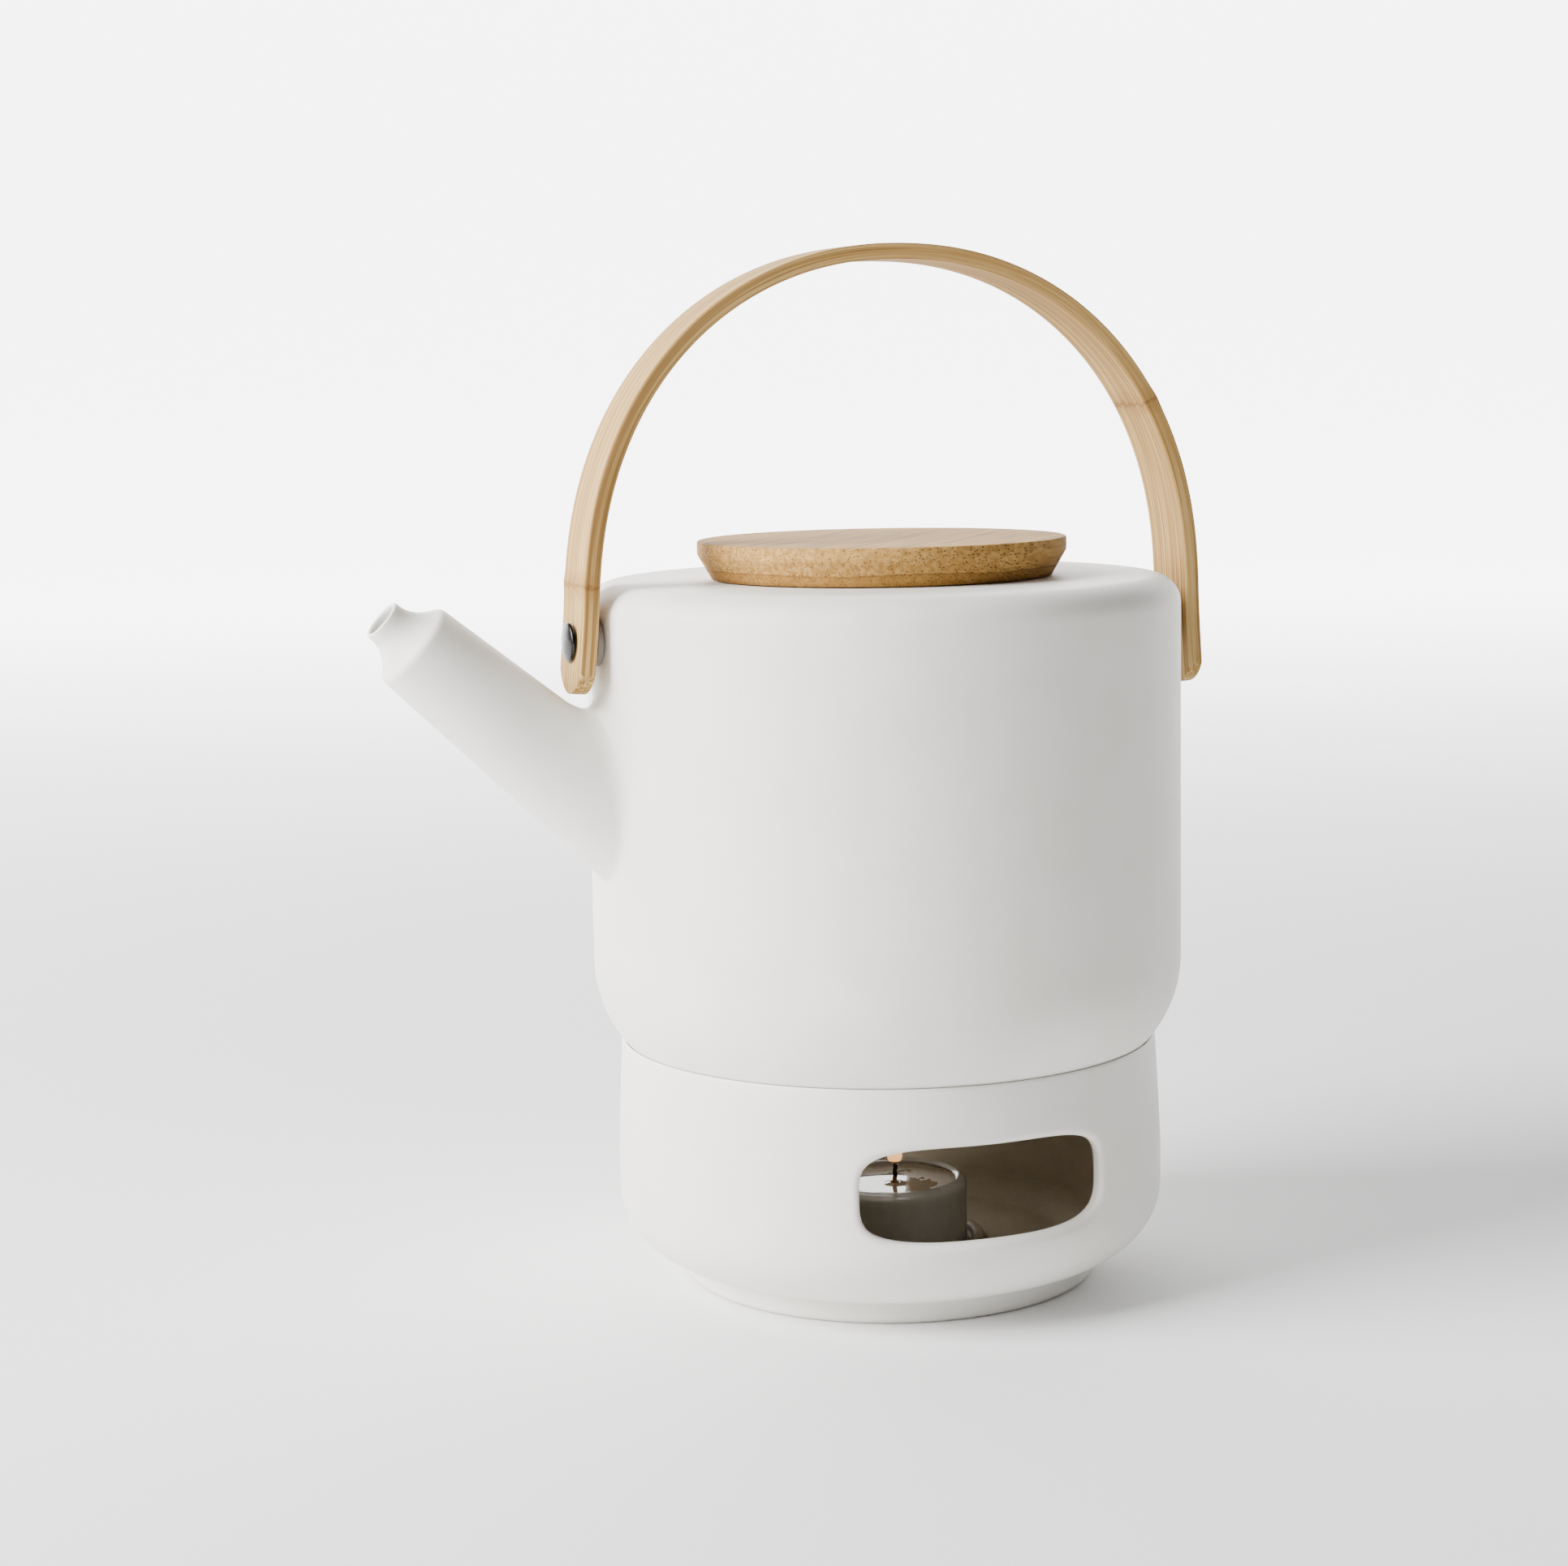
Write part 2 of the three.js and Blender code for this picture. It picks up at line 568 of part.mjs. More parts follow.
function addLid() {
  const underside = POT_TOP + GAP;
  const plugLipTop = PLUG_BOTTOM + PLUG_LIP;
  const profile = [
    point(0, PLUG_BOTTOM), point(PLUG_RADIUS, PLUG_BOTTOM), point(PLUG_RADIUS, plugLipTop),
    point(GROOVE_RADIUS, plugLipTop), point(GROOVE_RADIUS, underside),
    point(LID_UNDERSIDE_RADIUS, underside), point(LID_RADIUS, LID_TOP - LID_SIDE),
    point(LID_RADIUS, LID_TOP - LID_EDGE), point(LID_RADIUS - LID_EDGE, LID_TOP), point(0, LID_TOP),
  ];
  add('lid_disc', solid(turned(profile, LARGE_ROUND)), 'bamboo');

  const sealBottom = plugLipTop + GAP;
  const seal = ring(GROOVE_RADIUS + GAP, SEAL_RADIUS, sealBottom, sealBottom + SEAL_HEIGHT, MEDIUM_ROUND);
  add('lid_seal', solid(seal), 'silicone');
}

// ---------------------------------------------------------------- infuser

function basketHoles(bottom, top) {
  const pitch = (top - bottom) / BASKET_HOLE_ROWS;
  const bars = [];
  for (let row = 0; row < BASKET_HOLE_ROWS; row += 1) {
    for (let column = 0; column < BASKET_HOLE_COLUMNS / 2; column += 1) {
      const turn = 2 * Math.PI * (column + (row % 2) / 2) / BASKET_HOLE_COLUMNS;
      const through = bar(BASKET_HOLE_RADIUS, -BASKET_RADIUS - 2, BASKET_RADIUS + 2, 6);
      bars.push(solid(through.rotateY(Math.PI / 2).rotateZ(turn).translate(0, 0, bottom + pitch * (row + 0.5))));
    }
  }
  const spread = BASKET_FLOOR_RADIUS * 0.55;
  for (let i = 0; i < 6; i += 1) {
    const hole = bar(BASKET_HOLE_RADIUS, bottom - 10, bottom, 6);
    bars.push(solid(hole.translate(spread * Math.cos(Math.PI * i / 3), spread * Math.sin(Math.PI * i / 3), 0)));
  }
  return bars;
}

function addInfuser() {
  const rimBottom = LEDGE_TOP + GAP;
  const rimTop = rimBottom + INFUSER_RIM_THICKNESS;
  const rim = ring(INFUSER_RIM_INNER, INFUSER_RIM_RADIUS, rimBottom, rimTop, MEDIUM_ROUND);
  add('infuser_rim', solid(rim), 'steel');

  const basketTop = rimBottom - GAP;
  const corner = 4;
  const floorTop = BASKET_BOTTOM + BASKET_WALL;
  const profile = [
    point(0, BASKET_BOTTOM), point(BASKET_FLOOR_RADIUS - corner, BASKET_BOTTOM),
    point(BASKET_FLOOR_RADIUS, BASKET_BOTTOM + corner), point(BASKET_RADIUS, basketTop),
    point(BASKET_RADIUS - BASKET_WALL, basketTop), point(BASKET_FLOOR_RADIUS - BASKET_WALL, floorTop + corner),
    point(BASKET_FLOOR_RADIUS - corner, floorTop), point(0, floorTop),
  ];
  let basket = solid(turned(profile, MEDIUM_ROUND));
  for (const hole of basketHoles(floorTop + corner, basketTop - 4)) basket = basket.subtract(hole);
  add('infuser_basket', basket, 'steel');
}

addWarmer();
addTealight();
addPot();
addHandle();
addPivot(-1, 'left');
addPivot(1, 'right');
addLid();
addInfuser();

export default kettle;
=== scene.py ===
"""A stoneware teapot with a bent bamboo handle, standing on a tealight warmer.

Shapes are worked out in millimetres in the frame's axes (+Z up, spout towards -X, windows facing -Y
and +Y) and are scaled to metres as each mesh is made.
"""
import json
import math

import bmesh
import bpy
import numpy as np
from mathutils import Matrix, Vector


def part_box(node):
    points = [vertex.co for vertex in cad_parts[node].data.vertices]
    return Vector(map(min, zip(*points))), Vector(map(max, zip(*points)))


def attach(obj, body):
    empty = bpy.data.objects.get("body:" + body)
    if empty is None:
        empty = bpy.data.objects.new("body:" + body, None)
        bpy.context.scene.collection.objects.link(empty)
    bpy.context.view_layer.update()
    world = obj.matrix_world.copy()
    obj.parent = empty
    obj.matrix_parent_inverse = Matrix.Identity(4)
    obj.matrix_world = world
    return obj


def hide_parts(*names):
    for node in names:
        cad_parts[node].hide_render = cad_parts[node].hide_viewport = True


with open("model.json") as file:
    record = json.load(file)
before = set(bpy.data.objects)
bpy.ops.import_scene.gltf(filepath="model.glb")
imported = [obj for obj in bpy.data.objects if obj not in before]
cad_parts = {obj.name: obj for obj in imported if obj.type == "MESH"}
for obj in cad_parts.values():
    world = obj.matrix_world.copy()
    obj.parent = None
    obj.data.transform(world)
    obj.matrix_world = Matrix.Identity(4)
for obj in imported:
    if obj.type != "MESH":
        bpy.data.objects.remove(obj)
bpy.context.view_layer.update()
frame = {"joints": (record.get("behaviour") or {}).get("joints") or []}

MM = 0.001


def box_mm(node):
    """The lowest and highest corner of a CAD node, in millimetres."""
    low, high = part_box(node)
    return np.array(low) / MM, np.array(high) / MM


# ------------------------------------------------------------------ sizes, in millimetres

POT_HIGH = box_mm("pot_body")[1]
POT_RADIUS = POT_HIGH[0]
POT_BOTTOM = box_mm("pot_base")[0][2]
POT_TOP = POT_HIGH[2]
POT_WALL = 4.2
POT_CORNER = 30
POT_SHOULDER = 7
MOUTH_RADIUS = 38.5
MOUTH_EDGE = 0.8
LEDGE_RADIUS = 35.6
LEDGE_TOP = 166.5
LEDGE_THICKNESS = 4
COLLAR_RADIUS = 42
POT_COLUMNS = 192
SOLVER_STEPS = 40

SPOUT_ROOT = np.array([-66.4, 0, 117.1])
SPOUT_RISE = math.radians(41.2)
SPOUT_ALONG = np.array([-math.cos(SPOUT_RISE), 0, math.sin(SPOUT_RISE)])
SPOUT_UP = np.array([math.sin(SPOUT_RISE), 0, math.cos(SPOUT_RISE)])
SPOUT_SIDE = np.array([0, 1.0, 0])
SPOUT_ROOT_RADIUS = 14.4
SPOUT_RING_RADIUS = 10.85
SPOUT_RING_AT = 68.4
SPOUT_LIP_RADIUS = 5.2
SPOUT_LENGTH = 78
SPOUT_HOLE_RADIUS = 4
SPOUT_WALL = 3.6
SPOUT_FILLET_ABOVE = 4.3
SPOUT_FILLET_BELOW = 2.6
SPOUT_PATCH_LOW = 94
SPOUT_PATCH_HIGH = 156
SPOUT_PATCH_COLUMNS = 10
SPOUT_PATCH_ROWS = 28

WARMER_HIGH = box_mm("warmer_body")[1]
WARMER_RADIUS = WARMER_HIGH[0]
WARMER_RIM_TOP = WARMER_HIGH[2]
WARMER_RIM_RADIUS = 66.3
WARMER_CORNER = 17
WARMER_WALL = 4.2
WARMER_STRAIGHT_TOP = 33
WARMER_FLOOR_TOP = 6
WARMER_FLOOR_RADIUS = 44
WARMER_COLUMNS = 224
FOOT_RADIUS = 51.5
FOOT_HEIGHT = 6
FOOT_EDGE = 2
CANDLE_RING_INNER = 20.6
CANDLE_RING_OUTER = 23.8
CANDLE_RING_HEIGHT = 2
SEAT_GAP = 0.3
SEAT_GROOVE = 0.6
WINDOW_BOTTOM = 23.55
WINDOW_TOP = 46.15
WINDOW_HALF_WIDTH = 30.1
WINDOW_END_WIDTH = 27
WINDOW_POWER = 3.8
WINDOW_SHIFT = -1.1
WINDOW_EDGE = 2
WINDOW_INNER_EDGE = 1
WINDOW_PATCH_LOW = 18.5
WINDOW_PATCH_HIGH = 53
WINDOW_PATCH_COLUMNS = 21
WINDOW_PATCH_ROWS = 18

STRAP_LOW, STRAP_HIGH = box_mm("handle_bail")
STRAP_WIDTH = STRAP_HIGH[1] - STRAP_LOW[1]
LEG_ENDS = (148.4, STRAP_LOW[2])
STRAP_THICKNESS = 3.8
ARCH_HALF_SPAN = 76.5
ARCH_BASE = 169
ARCH_RISE = 80.97
ARCH_POWER = 2.13
LEG_SPLAY = 0.085
SPLAY_BLEND = 6
HANDLE_LEAN = math.radians(1)
HANDLE_SHIFT = 2.05
LEG_END_ROUND = 5.5
STRAP_HOLE_RADIUS = 2.5
STRAP_EDGE = 0.55

PIVOT_Z = frame["joints"][2]["pos_m"][2] / MM
SCREW_HOLE_RADIUS = 2.7
SHANK_RADIUS = 2.2
INNER_BORE = 2.6
HEAD_HEIGHT = 1.3

LID_LOW, LID_HIGH = box_mm("lid_disc")
LID_RADIUS = LID_HIGH[0]
LID_TOP = LID_HIGH[2]
LID_UNDERSIDE_RADIUS = 41.7
LID_UNDERSIDE = POT_TOP + 0.3
LID_SIDE = 3.2
LID_PLY_LINE = 177.2
PLUG_RADIUS = 36.9
PLUG_LIP = 1.7
GROOVE_RADIUS = 35

CUP_WALL = 0.8
CUP_RIM_RADIUS = 17.4
CUP_SHOULDER = 2.8
WICK_BORE = 1.1
FLAME_TOP = 37.5
FLAME_RADIUS = 1.9

# ------------------------------------------------------------------ camera

CAMERA_DISTANCE = 742
CAMERA_HEIGHT = 223.4
CAMERA_BEARING = math.radians(22)
CAMERA_HEADING = CAMERA_BEARING - math.radians(1.92)
CAMERA_PITCH = math.radians(7.73)
CAMERA_ROLL = math.radians(-1.02)
CAMERA_LENS = 69.41
SENSOR_WIDTH = 36


def placed(across, up, back, position):
    """The matrix of a camera or light: its own X, Y and Z axes and its place, in metres."""
    matrix = Matrix.Identity(4)
    for row in range(3):
        matrix[row][0], matrix[row][1], matrix[row][2] = across[row], up[row], back[row]
        matrix[row][3] = position[row]
    return matrix


def add_camera():
    """Looks from the front left, slightly downwards."""
    data = bpy.data.cameras.new("camera")
    data.lens = CAMERA_LENS
    data.sensor_width = SENSOR_WIDTH
    data.clip_start = 0.01
    camera = bpy.data.objects.new("camera", data)
    heading, pitch, roll = CAMERA_HEADING, CAMERA_PITCH, CAMERA_ROLL
    forward = np.array([
        math.sin(heading) * math.cos(pitch), math.cos(heading) * math.cos(pitch), -math.sin(pitch),
    ])
    level = np.array([math.cos(heading), -math.sin(heading), 0])
    upright = np.cross(level, forward)
    right = math.cos(roll) * level + math.sin(roll) * upright
    up = -math.sin(roll) * level + math.cos(roll) * upright
    camera.matrix_world = placed(right, up, -forward, (
        -CAMERA_DISTANCE * MM * math.sin(CAMERA_BEARING),
        -CAMERA_DISTANCE * MM * math.cos(CAMERA_BEARING),
        CAMERA_HEIGHT * MM,
    ))
    bpy.context.scene.collection.objects.link(camera)
    bpy.context.scene.camera = camera


# ------------------------------------------------------------------ outlines

def line(start, end, step=2.0):
    """Points from start up to but not including end, no further apart than step."""
    start, end = np.array(start, float), np.array(end, float)
    count = max(1, math.ceil(np.linalg.norm(end - start) / step))
    return [start + (end - start) * i / count for i in range(count)]


def arc(centre, radius, start, end, steps=12):
    """Points on an arc between two angles in degrees, both ends included."""
    angles = np.radians(np.linspace(start, end, steps + 1))
    return [np.array([centre[0] + radius * math.cos(a), centre[1] + radius * math.sin(a)]) for a in angles]


def bend(start, corner, end, steps=6):
    """A rounded corner: a quadratic curve between start and end, pulled towards corner."""
    start, corner, end = (np.array(p, float) for p in (start, corner, end))
    ts = np.linspace(0, 1, steps + 1)
    return [(1 - t) ** 2 * start + 2 * t * (1 - t) * corner + t ** 2 * end for t in ts]


def divided(outline, step):
    """An outline with points added, no further apart than step."""
    dense = []
    for a, b in zip(outline, outline[1:]):
        dense += line(a, b, step)
    return dense + [outline[-1]]


def softened(corners, radius=0.3, steps=3, closed=False, step=2.0):
    """A polygon of (r, z) corners with every inner corner rounded, and its sides divided."""
    corners = [np.array(c, float) for c in corners]
    count = len(corners)
    outline = []
    for i, corner in enumerate(corners):
        if not closed and i in (0, count - 1):
            outline.append(corner)
            continue
        before, after = corners[i - 1], corners[(i + 1) % count]
        reach_in = min(radius, 0.45 * np.linalg.norm(corner - before))
        reach_out = min(radius, 0.45 * np.linalg.norm(after - corner))
        enter = corner + (before - corner) / np.linalg.norm(before - corner) * reach_in
        leave = corner + (after - corner) / np.linalg.norm(after - corner) * reach_out
        outline += bend(enter, corner, leave, steps)
    if closed:
        outline.append(outline[0])
    return divided(outline, step)


def distances(path):
    """How far along a path each of its points is."""
    return np.concatenate([[0], np.cumsum(np.linalg.norm(np.diff(path, axis=0), axis=1))])


def halved(outside, low, high, shape):
    """Where outside turns true between low and high, found by halving for a whole array at once."""
    low, high = np.full(shape, low), np.full(shape, high)
    for _ in range(SOLVER_STEPS):
        middle = (low + high) / 2
        beyond = outside(middle)
        high = np.where(beyond, middle, high)
        low = np.where(beyond, low, middle)
    return (low + high) / 2


# ------------------------------------------------------------------ meshes

def finish_mesh(name, points, faces, body, replaced, slot, material, crease=34):
    """A smooth-shaded object of these points in millimetres, riding on its body."""
    mesh = bpy.data.meshes.new(name)
    mesh.from_pydata((np.asarray(points, float) * MM).tolist(), [], [tuple(map(int, f)) for f in faces])
    work = bmesh.new()
    work.from_mesh(mesh)
    bmesh.ops.remove_doubles(work, verts=work.verts, dist=1e-7)
    work.to_mesh(mesh)
    work.free()
    mesh.validate()
    mesh.shade_smooth()
    mesh.set_sharp_from_angle(angle=math.radians(crease))
    return place(bpy.data.objects.new(name, mesh), body, replaced, slot, material)


def place(piece, body, replaced, slot, material):
    """Links a piece, gives it its material and sets what it rides on and stands for."""
    bpy.context.scene.collection.objects.link(piece)
    piece.data.materials.append(material)
    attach(piece, body)
    if replaced:
        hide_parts(*replaced)
    return piece


def lathe_points(profile, columns):
    """The points of a profile turned about Z, as [row, column, xyz]."""
    profile = np.array(profile)
    angles = 2 * np.pi * np.arange(columns) / columns
    radius = profile[:, 0][:, None]
    height = np.repeat(profile[:, 1][:, None], columns, axis=1)
    return np.stack([radius * np.cos(angles), radius * np.sin(angles), height], axis=-1)


def grid_faces(rows, columns, skip=lambda row, column: False):
    """Quads of a grid whose columns close on themselves."""
    faces = []
    for row in range(rows - 1):
        for column in range(columns):
            if skip(row, column):
                continue
            a = row * columns + column
            b = row * columns + (column + 1) % columns
            faces.append((a, b, b + columns, a + columns))
    return faces


def turned(name, profile, columns, body, replaced, slot, material, **options):
    """A solid of revolution about Z. Its profile runs from the bottom outwards, up and back in."""
    points = lathe_points(profile, columns)
    if "move" in options:
        points = options.pop("move")(points)
    faces = grid_faces(len(profile), columns)
    return finish_mesh(name, points.reshape(-1, 3), faces, body, replaced, slot, material, **options)


class Shell:
    """A turned shell with ports: openings whose edges run from its outer to its inner surface.

    A port takes the same block of columns on both surfaces, and the same number of rows. Going up the
    outside the rows are outer_row to outer_row + rows, and going down the inside they are inner_row to
    inner_row + rows.
    """

    def __init__(self, profile, columns):
        self.grid = lathe_points(profile, columns)
        self.columns = columns
        self.ports = []

    def rim(self, first_row, rows, first_column, columns, downwards):
        """Vertex numbers round a block, starting at its lowest row and running towards +angle."""
        def number(up, across):
            row = first_row + (rows - up if downwards else up)
            return row * self.columns + (first_column + across) % self.columns
        return (
            [number(0, c) for c in range(columns)]
            + [number(r, columns) for r in range(rows)]
            + [number(rows, c) for c in range(columns, 0, -1)]
            + [number(r, 0) for r in range(rows, 0, -1)]
        )

    def add_port(self, outer_row, inner_row, rows, first_column, columns, make_loops):
        outer = self.rim(outer_row, rows, first_column, columns, downwards=False)
        inner = self.rim(inner_row, rows, first_column, columns, downwards=True)
        flat = self.grid.reshape(-1, 3)
        loops = make_loops(flat[outer], flat[inner])
        self.ports.append((outer_row, inner_row, rows, first_column, columns, outer, inner, loops))

    def covered(self, row, column):
        for outer_row, inner_row, rows, first_column, columns, *_ in self.ports:
            across = (column - first_column) % self.columns < columns
            if across and (outer_row <= row < outer_row + rows or inner_row <= row < inner_row + rows):
                return True
        return False

    def build(self):
        points = [self.grid.reshape(-1, 3)]
        faces = grid_faces(self.grid.shape[0], self.columns, self.covered)
        used = len(points[0])
        for *_, outer, inner, loops in self.ports:
            numbers = [outer]
            for loop in loops:
                numbers.append(list(range(used, used + len(loop))))
                points.append(loop)
                used += len(loop)
            numbers.append(inner)
            for a, b in zip(numbers, numbers[1:]):
                count = len(a)
                faces += [(a[i], a[(i + 1) % count], b[(i + 1) % count], b[i]) for i in range(count)]
        return np.concatenate(points), faces


def bore(piece, radius, start, end):
    """Cuts a round hole along X through a finished piece, between two places on X."""
    work = bmesh.new()
    centre = Matrix.Translation(((start + end) / 2 * MM, 0, PIVOT_Z * MM))
    turn = centre @ Matrix.Rotation(math.pi / 2, 4, "Y")
    bmesh.ops.create_cone(
        work, cap_ends=True, segments=48, radius1=radius * MM, radius2=radius * MM,
        depth=(end - start) * MM, matrix=turn,
    )
    mesh = bpy.data.meshes.new("cutter")
    work.to_mesh(mesh)
    work.free()
    cutter = bpy.data.objects.new("cutter", mesh)
    bpy.context.scene.collection.objects.link(cutter)
    cut = piece.modifiers.new("bore", "BOOLEAN")
    cut.operation = "DIFFERENCE"
    cut.solver = "EXACT"
    cut.object = cutter
    bpy.context.view_layer.update()
    depsgraph = bpy.context.evaluated_depsgraph_get()
    result = bpy.data.meshes.new_from_object(piece.evaluated_get(depsgraph))
    piece.modifiers.remove(cut)
    piece.data = result
    bpy.data.objects.remove(cutter)


# ------------------------------------------------------------------ materials

class Paint:
    """Builds one procedural material, node by node."""

    def __init__(self, name):
        self.material = bpy.data.materials.new(name)
        self.material.use_nodes = True
        self.tree = self.material.node_tree
        self.shader = self.tree.nodes["Principled BSDF"]

    def node(self, kind, settings=None, **inputs):
        node = self.tree.nodes.new(kind)
        for key, value in (settings or {}).items():
            setattr(node, key, value)
        for key, value in inputs.items():
            self.put(node.inputs[key.replace("_", " ")], value)
        return node

    def put(self, socket, value):
        if isinstance(value, bpy.types.NodeSocket):
            self.tree.links.new(value, socket)
        else:
            socket.default_value = value

    def shade(self, **inputs):
        for key, value in inputs.items():
            self.put(self.shader.inputs[key.replace("_", " ")], value)

    def math(self, operation, a, b=0.0, clamp=False):
        node = self.tree.nodes.new("ShaderNodeMath")
        node.operation = operation
        node.use_clamp = clamp
        self.put(node.inputs[0], a)
        self.put(node.inputs[1], b)
        return node.outputs[0]

    def ramp(self, value, low, high, to_low=0.0, to_high=1.0):
        """value from low to high, smoothly mapped onto to_low to to_high."""
        node = self.node(
            "ShaderNodeMapRange", {"interpolation_type": "SMOOTHSTEP"},
            Value=value, From_Min=low, From_Max=high, To_Min=to_low, To_Max=to_high,
        )
        return node.outputs["Result"]

    def mix(self, factor, a, b, blend="MIX"):
        node = self.tree.nodes.new("ShaderNodeMix")
        node.data_type = "RGBA"
        node.blend_type = blend
        self.put(node.inputs[0], factor)
        self.put(node.inputs[6], a)
        self.put(node.inputs[7], b)
        return node.outputs[2]

    def coordinates(self, scale, turn=0.0):
        """Object coordinates in millimetres, turned about Z by turn, then scaled axis by axis."""
        source = self.node("ShaderNodeTexCoord").outputs["Object"]
        spun = self.node("ShaderNodeMapping", Vector=source, Rotation=(0, 0, turn), Scale=(1 / MM,) * 3)
        return self.node("ShaderNodeMapping", Vector=spun.outputs[0], Scale=scale).outputs[0]

    def part_of(self, vector, axis):
        return self.node("ShaderNodeSeparateXYZ", Vector=vector).outputs[axis]

    def noise(self, vector, scale, detail=3.0, roughness=0.5):
        node = self.node("ShaderNodeTexNoise", Vector=vector, Scale=scale, Detail=detail, Roughness=roughness)
        return node.outputs["Fac"]

    def bump(self, height, distance, strength=1.0):
        node = self.node("ShaderNodeBump", Height=height, Distance=distance * MM, Strength=strength)
        self.put(self.shader.inputs["Normal"], node.outputs[0])


def srgb(red, green, blue):
    """A colour given as 0 to 255 sRGB, as linear RGBA."""
    def linear(c):
        c /= 255
        return c / 12.92 if c <= 0.04045 else ((c + 0.055) / 1.055) ** 2.4
    return (linear(red), linear(green), linear(blue), 1.0)


def stoneware(name, bare_inside=False):
    """Matte white glaze: a faint warm mottle, sparse specks and a slightly uneven skin.

    With bare_inside, the clay on the warmer's inner wall and floor is bare and warm grey.
    """
    paint = Paint(name)
    place_mm = paint.coordinates((1, 1, 1))
    mottle = paint.noise(place_mm, 0.05, 2)
    fine = paint.noise(place_mm, 1.6, 4)
    specks = paint.node("ShaderNodeTexVoronoi", Vector=place_mm, Scale=0.42).outputs["Distance"]
    speck = paint.ramp(specks, 0.05, 0.12, 1, 0)
    base = paint.mix(paint.ramp(mottle, 0.35, 0.65), srgb(238, 235, 227), srgb(242, 239, 233))
    base = paint.mix(paint.math("MULTIPLY", speck, 0.10), base, srgb(190, 180, 165))
    if bare_inside:
        flat = paint.node("ShaderNodeVectorMath", {"operation": "MULTIPLY"})
        paint.put(flat.inputs[0], place_mm)
        flat.inputs[1].default_value = (1, 1, 0)
        radial = paint.node("ShaderNodeVectorMath", {"operation": "LENGTH"})
        paint.put(radial.inputs[0], flat.outputs[0])
        radial = radial.outputs["Value"]
        height = paint.part_of(place_mm, "Z")
        out = paint.math("MAXIMUM", paint.math("SUBTRACT", radial, WARMER_RADIUS - WARMER_CORNER), 0.0)
        down = paint.math("MAXIMUM", paint.math("SUBTRACT", FOOT_HEIGHT + WARMER_CORNER, height), 0.0)
        squares = (paint.math("POWER", out, 2.0), paint.math("POWER", down, 2.0))
        corner = paint.math("SQRT", paint.math("ADD", *squares))
        skin_depth = WARMER_CORNER - WARMER_WALL + 0.9
        wall = paint.ramp(corner, skin_depth - 0.4, skin_depth + 0.4, 1, 0)
        floor = paint.math("MULTIPLY", paint.ramp(radial, 51.0, 51.4, 1, 0), paint.ramp(height, 5.4, 5.9))
        clay = paint.mix(mottle, srgb(160, 147, 124), srgb(174, 161, 138))
        base = paint.mix(paint.math("MAXIMUM", wall, floor), base, clay)
    paint.shade(Base_Color=base, IOR=1.45)
    paint.put(paint.shader.inputs["Roughness"], paint.ramp(fine, 0.3, 0.7, 0.48, 0.58))
    skin = paint.math("ADD", paint.math("MULTIPLY", fine, 0.35), paint.noise(place_mm, 0.22, 2))
    paint.bump(skin, 0.10, 0.35)
    return paint.material


def bamboo(name, vector, light, dark, dot, dot_strength, streaks, threads, extra):
    """Bamboo whose fibres run along the first axis of vector, in millimetres.

    One field of long fibres makes streaks on the long faces and dots on the end grain. extra adds what
    only one piece has.
    """
    paint = Paint(name)
    vector = vector(paint)
    fibre_space = paint.node("ShaderNodeMapping", Vector=vector, Scale=(0.018, 1, 1)).outputs[0]
    broad = paint.noise(fibre_space, 0.16, 2)
    streak = paint.noise(fibre_space, 0.9, 4, 0.65)
    cells = paint.node(
        "ShaderNodeTexVoronoi", Vector=fibre_space, Scale=1.35, Randomness=0.7,
    )
    bundle = paint.ramp(cells.outputs["Distance"], 0.18, 0.32, 1, 0)
    tone = paint.ramp(streak, 0.5 - streaks / 2, 0.5 + streaks / 2)
    thread_space = paint.node("ShaderNodeMapping", Vector=vector, Scale=(0.006, 1, 1)).outputs[0]
    thread = paint.ramp(paint.noise(thread_space, 1.3, 2), 0.53, 0.61)
    base = paint.mix(tone, dark, light)
    base = paint.mix(paint.math("MULTIPLY", thread, threads), base, dot)
    base = paint.mix(paint.ramp(broad, 0.35, 0.7, 0, 0.35), base, dark)
    base = paint.mix(paint.math("MULTIPLY", bundle, dot_strength), base, dot)
    base = extra(paint, vector, base)
    paint.shade(Base_Color=base, Specular_IOR_Level=0.12)
    paint.put(paint.shader.inputs["Roughness"], paint.ramp(streak, 0.3, 0.7, 0.62, 0.76))
    grain = paint.math("SUBTRACT", streak, paint.math("MULTIPLY", bundle, 0.7))
    paint.bump(grain, 0.12, 0.6)
    return paint.material


GRAIN_TURN = math.radians(-48)


def lid_bamboo():
    """The lid's fibres lie across it at an angle, so its rim shows end grain at the front left."""
    def vector(paint):
        return paint.coordinates((1, 1, 1), GRAIN_TURN)

    def plies(paint, place_mm, base):
        height = paint.part_of(place_mm, "Z")
        wander = paint.math("MULTIPLY", paint.noise(place_mm, 0.06, 2), 1.6)
        level = paint.math("ADD", height, wander)
        glue = paint.math("ABSOLUTE", paint.math("SUBTRACT", level, LID_PLY_LINE))
        seam = paint.ramp(glue, 0.05, 0.35, 0.5, 0)
        base = paint.mix(seam, base, srgb(92, 60, 22))
        lower = paint.ramp(level, LID_PLY_LINE - 0.2, LID_PLY_LINE + 0.2, 0.5, 0)
        return paint.mix(lower, base, srgb(136, 96, 40))

    return bamboo(
        "lid_bamboo", vector, srgb(196, 156, 92), srgb(160, 120, 62), srgb(78, 50, 20),
        0.8, 0.26, 0.15, plies,
    )


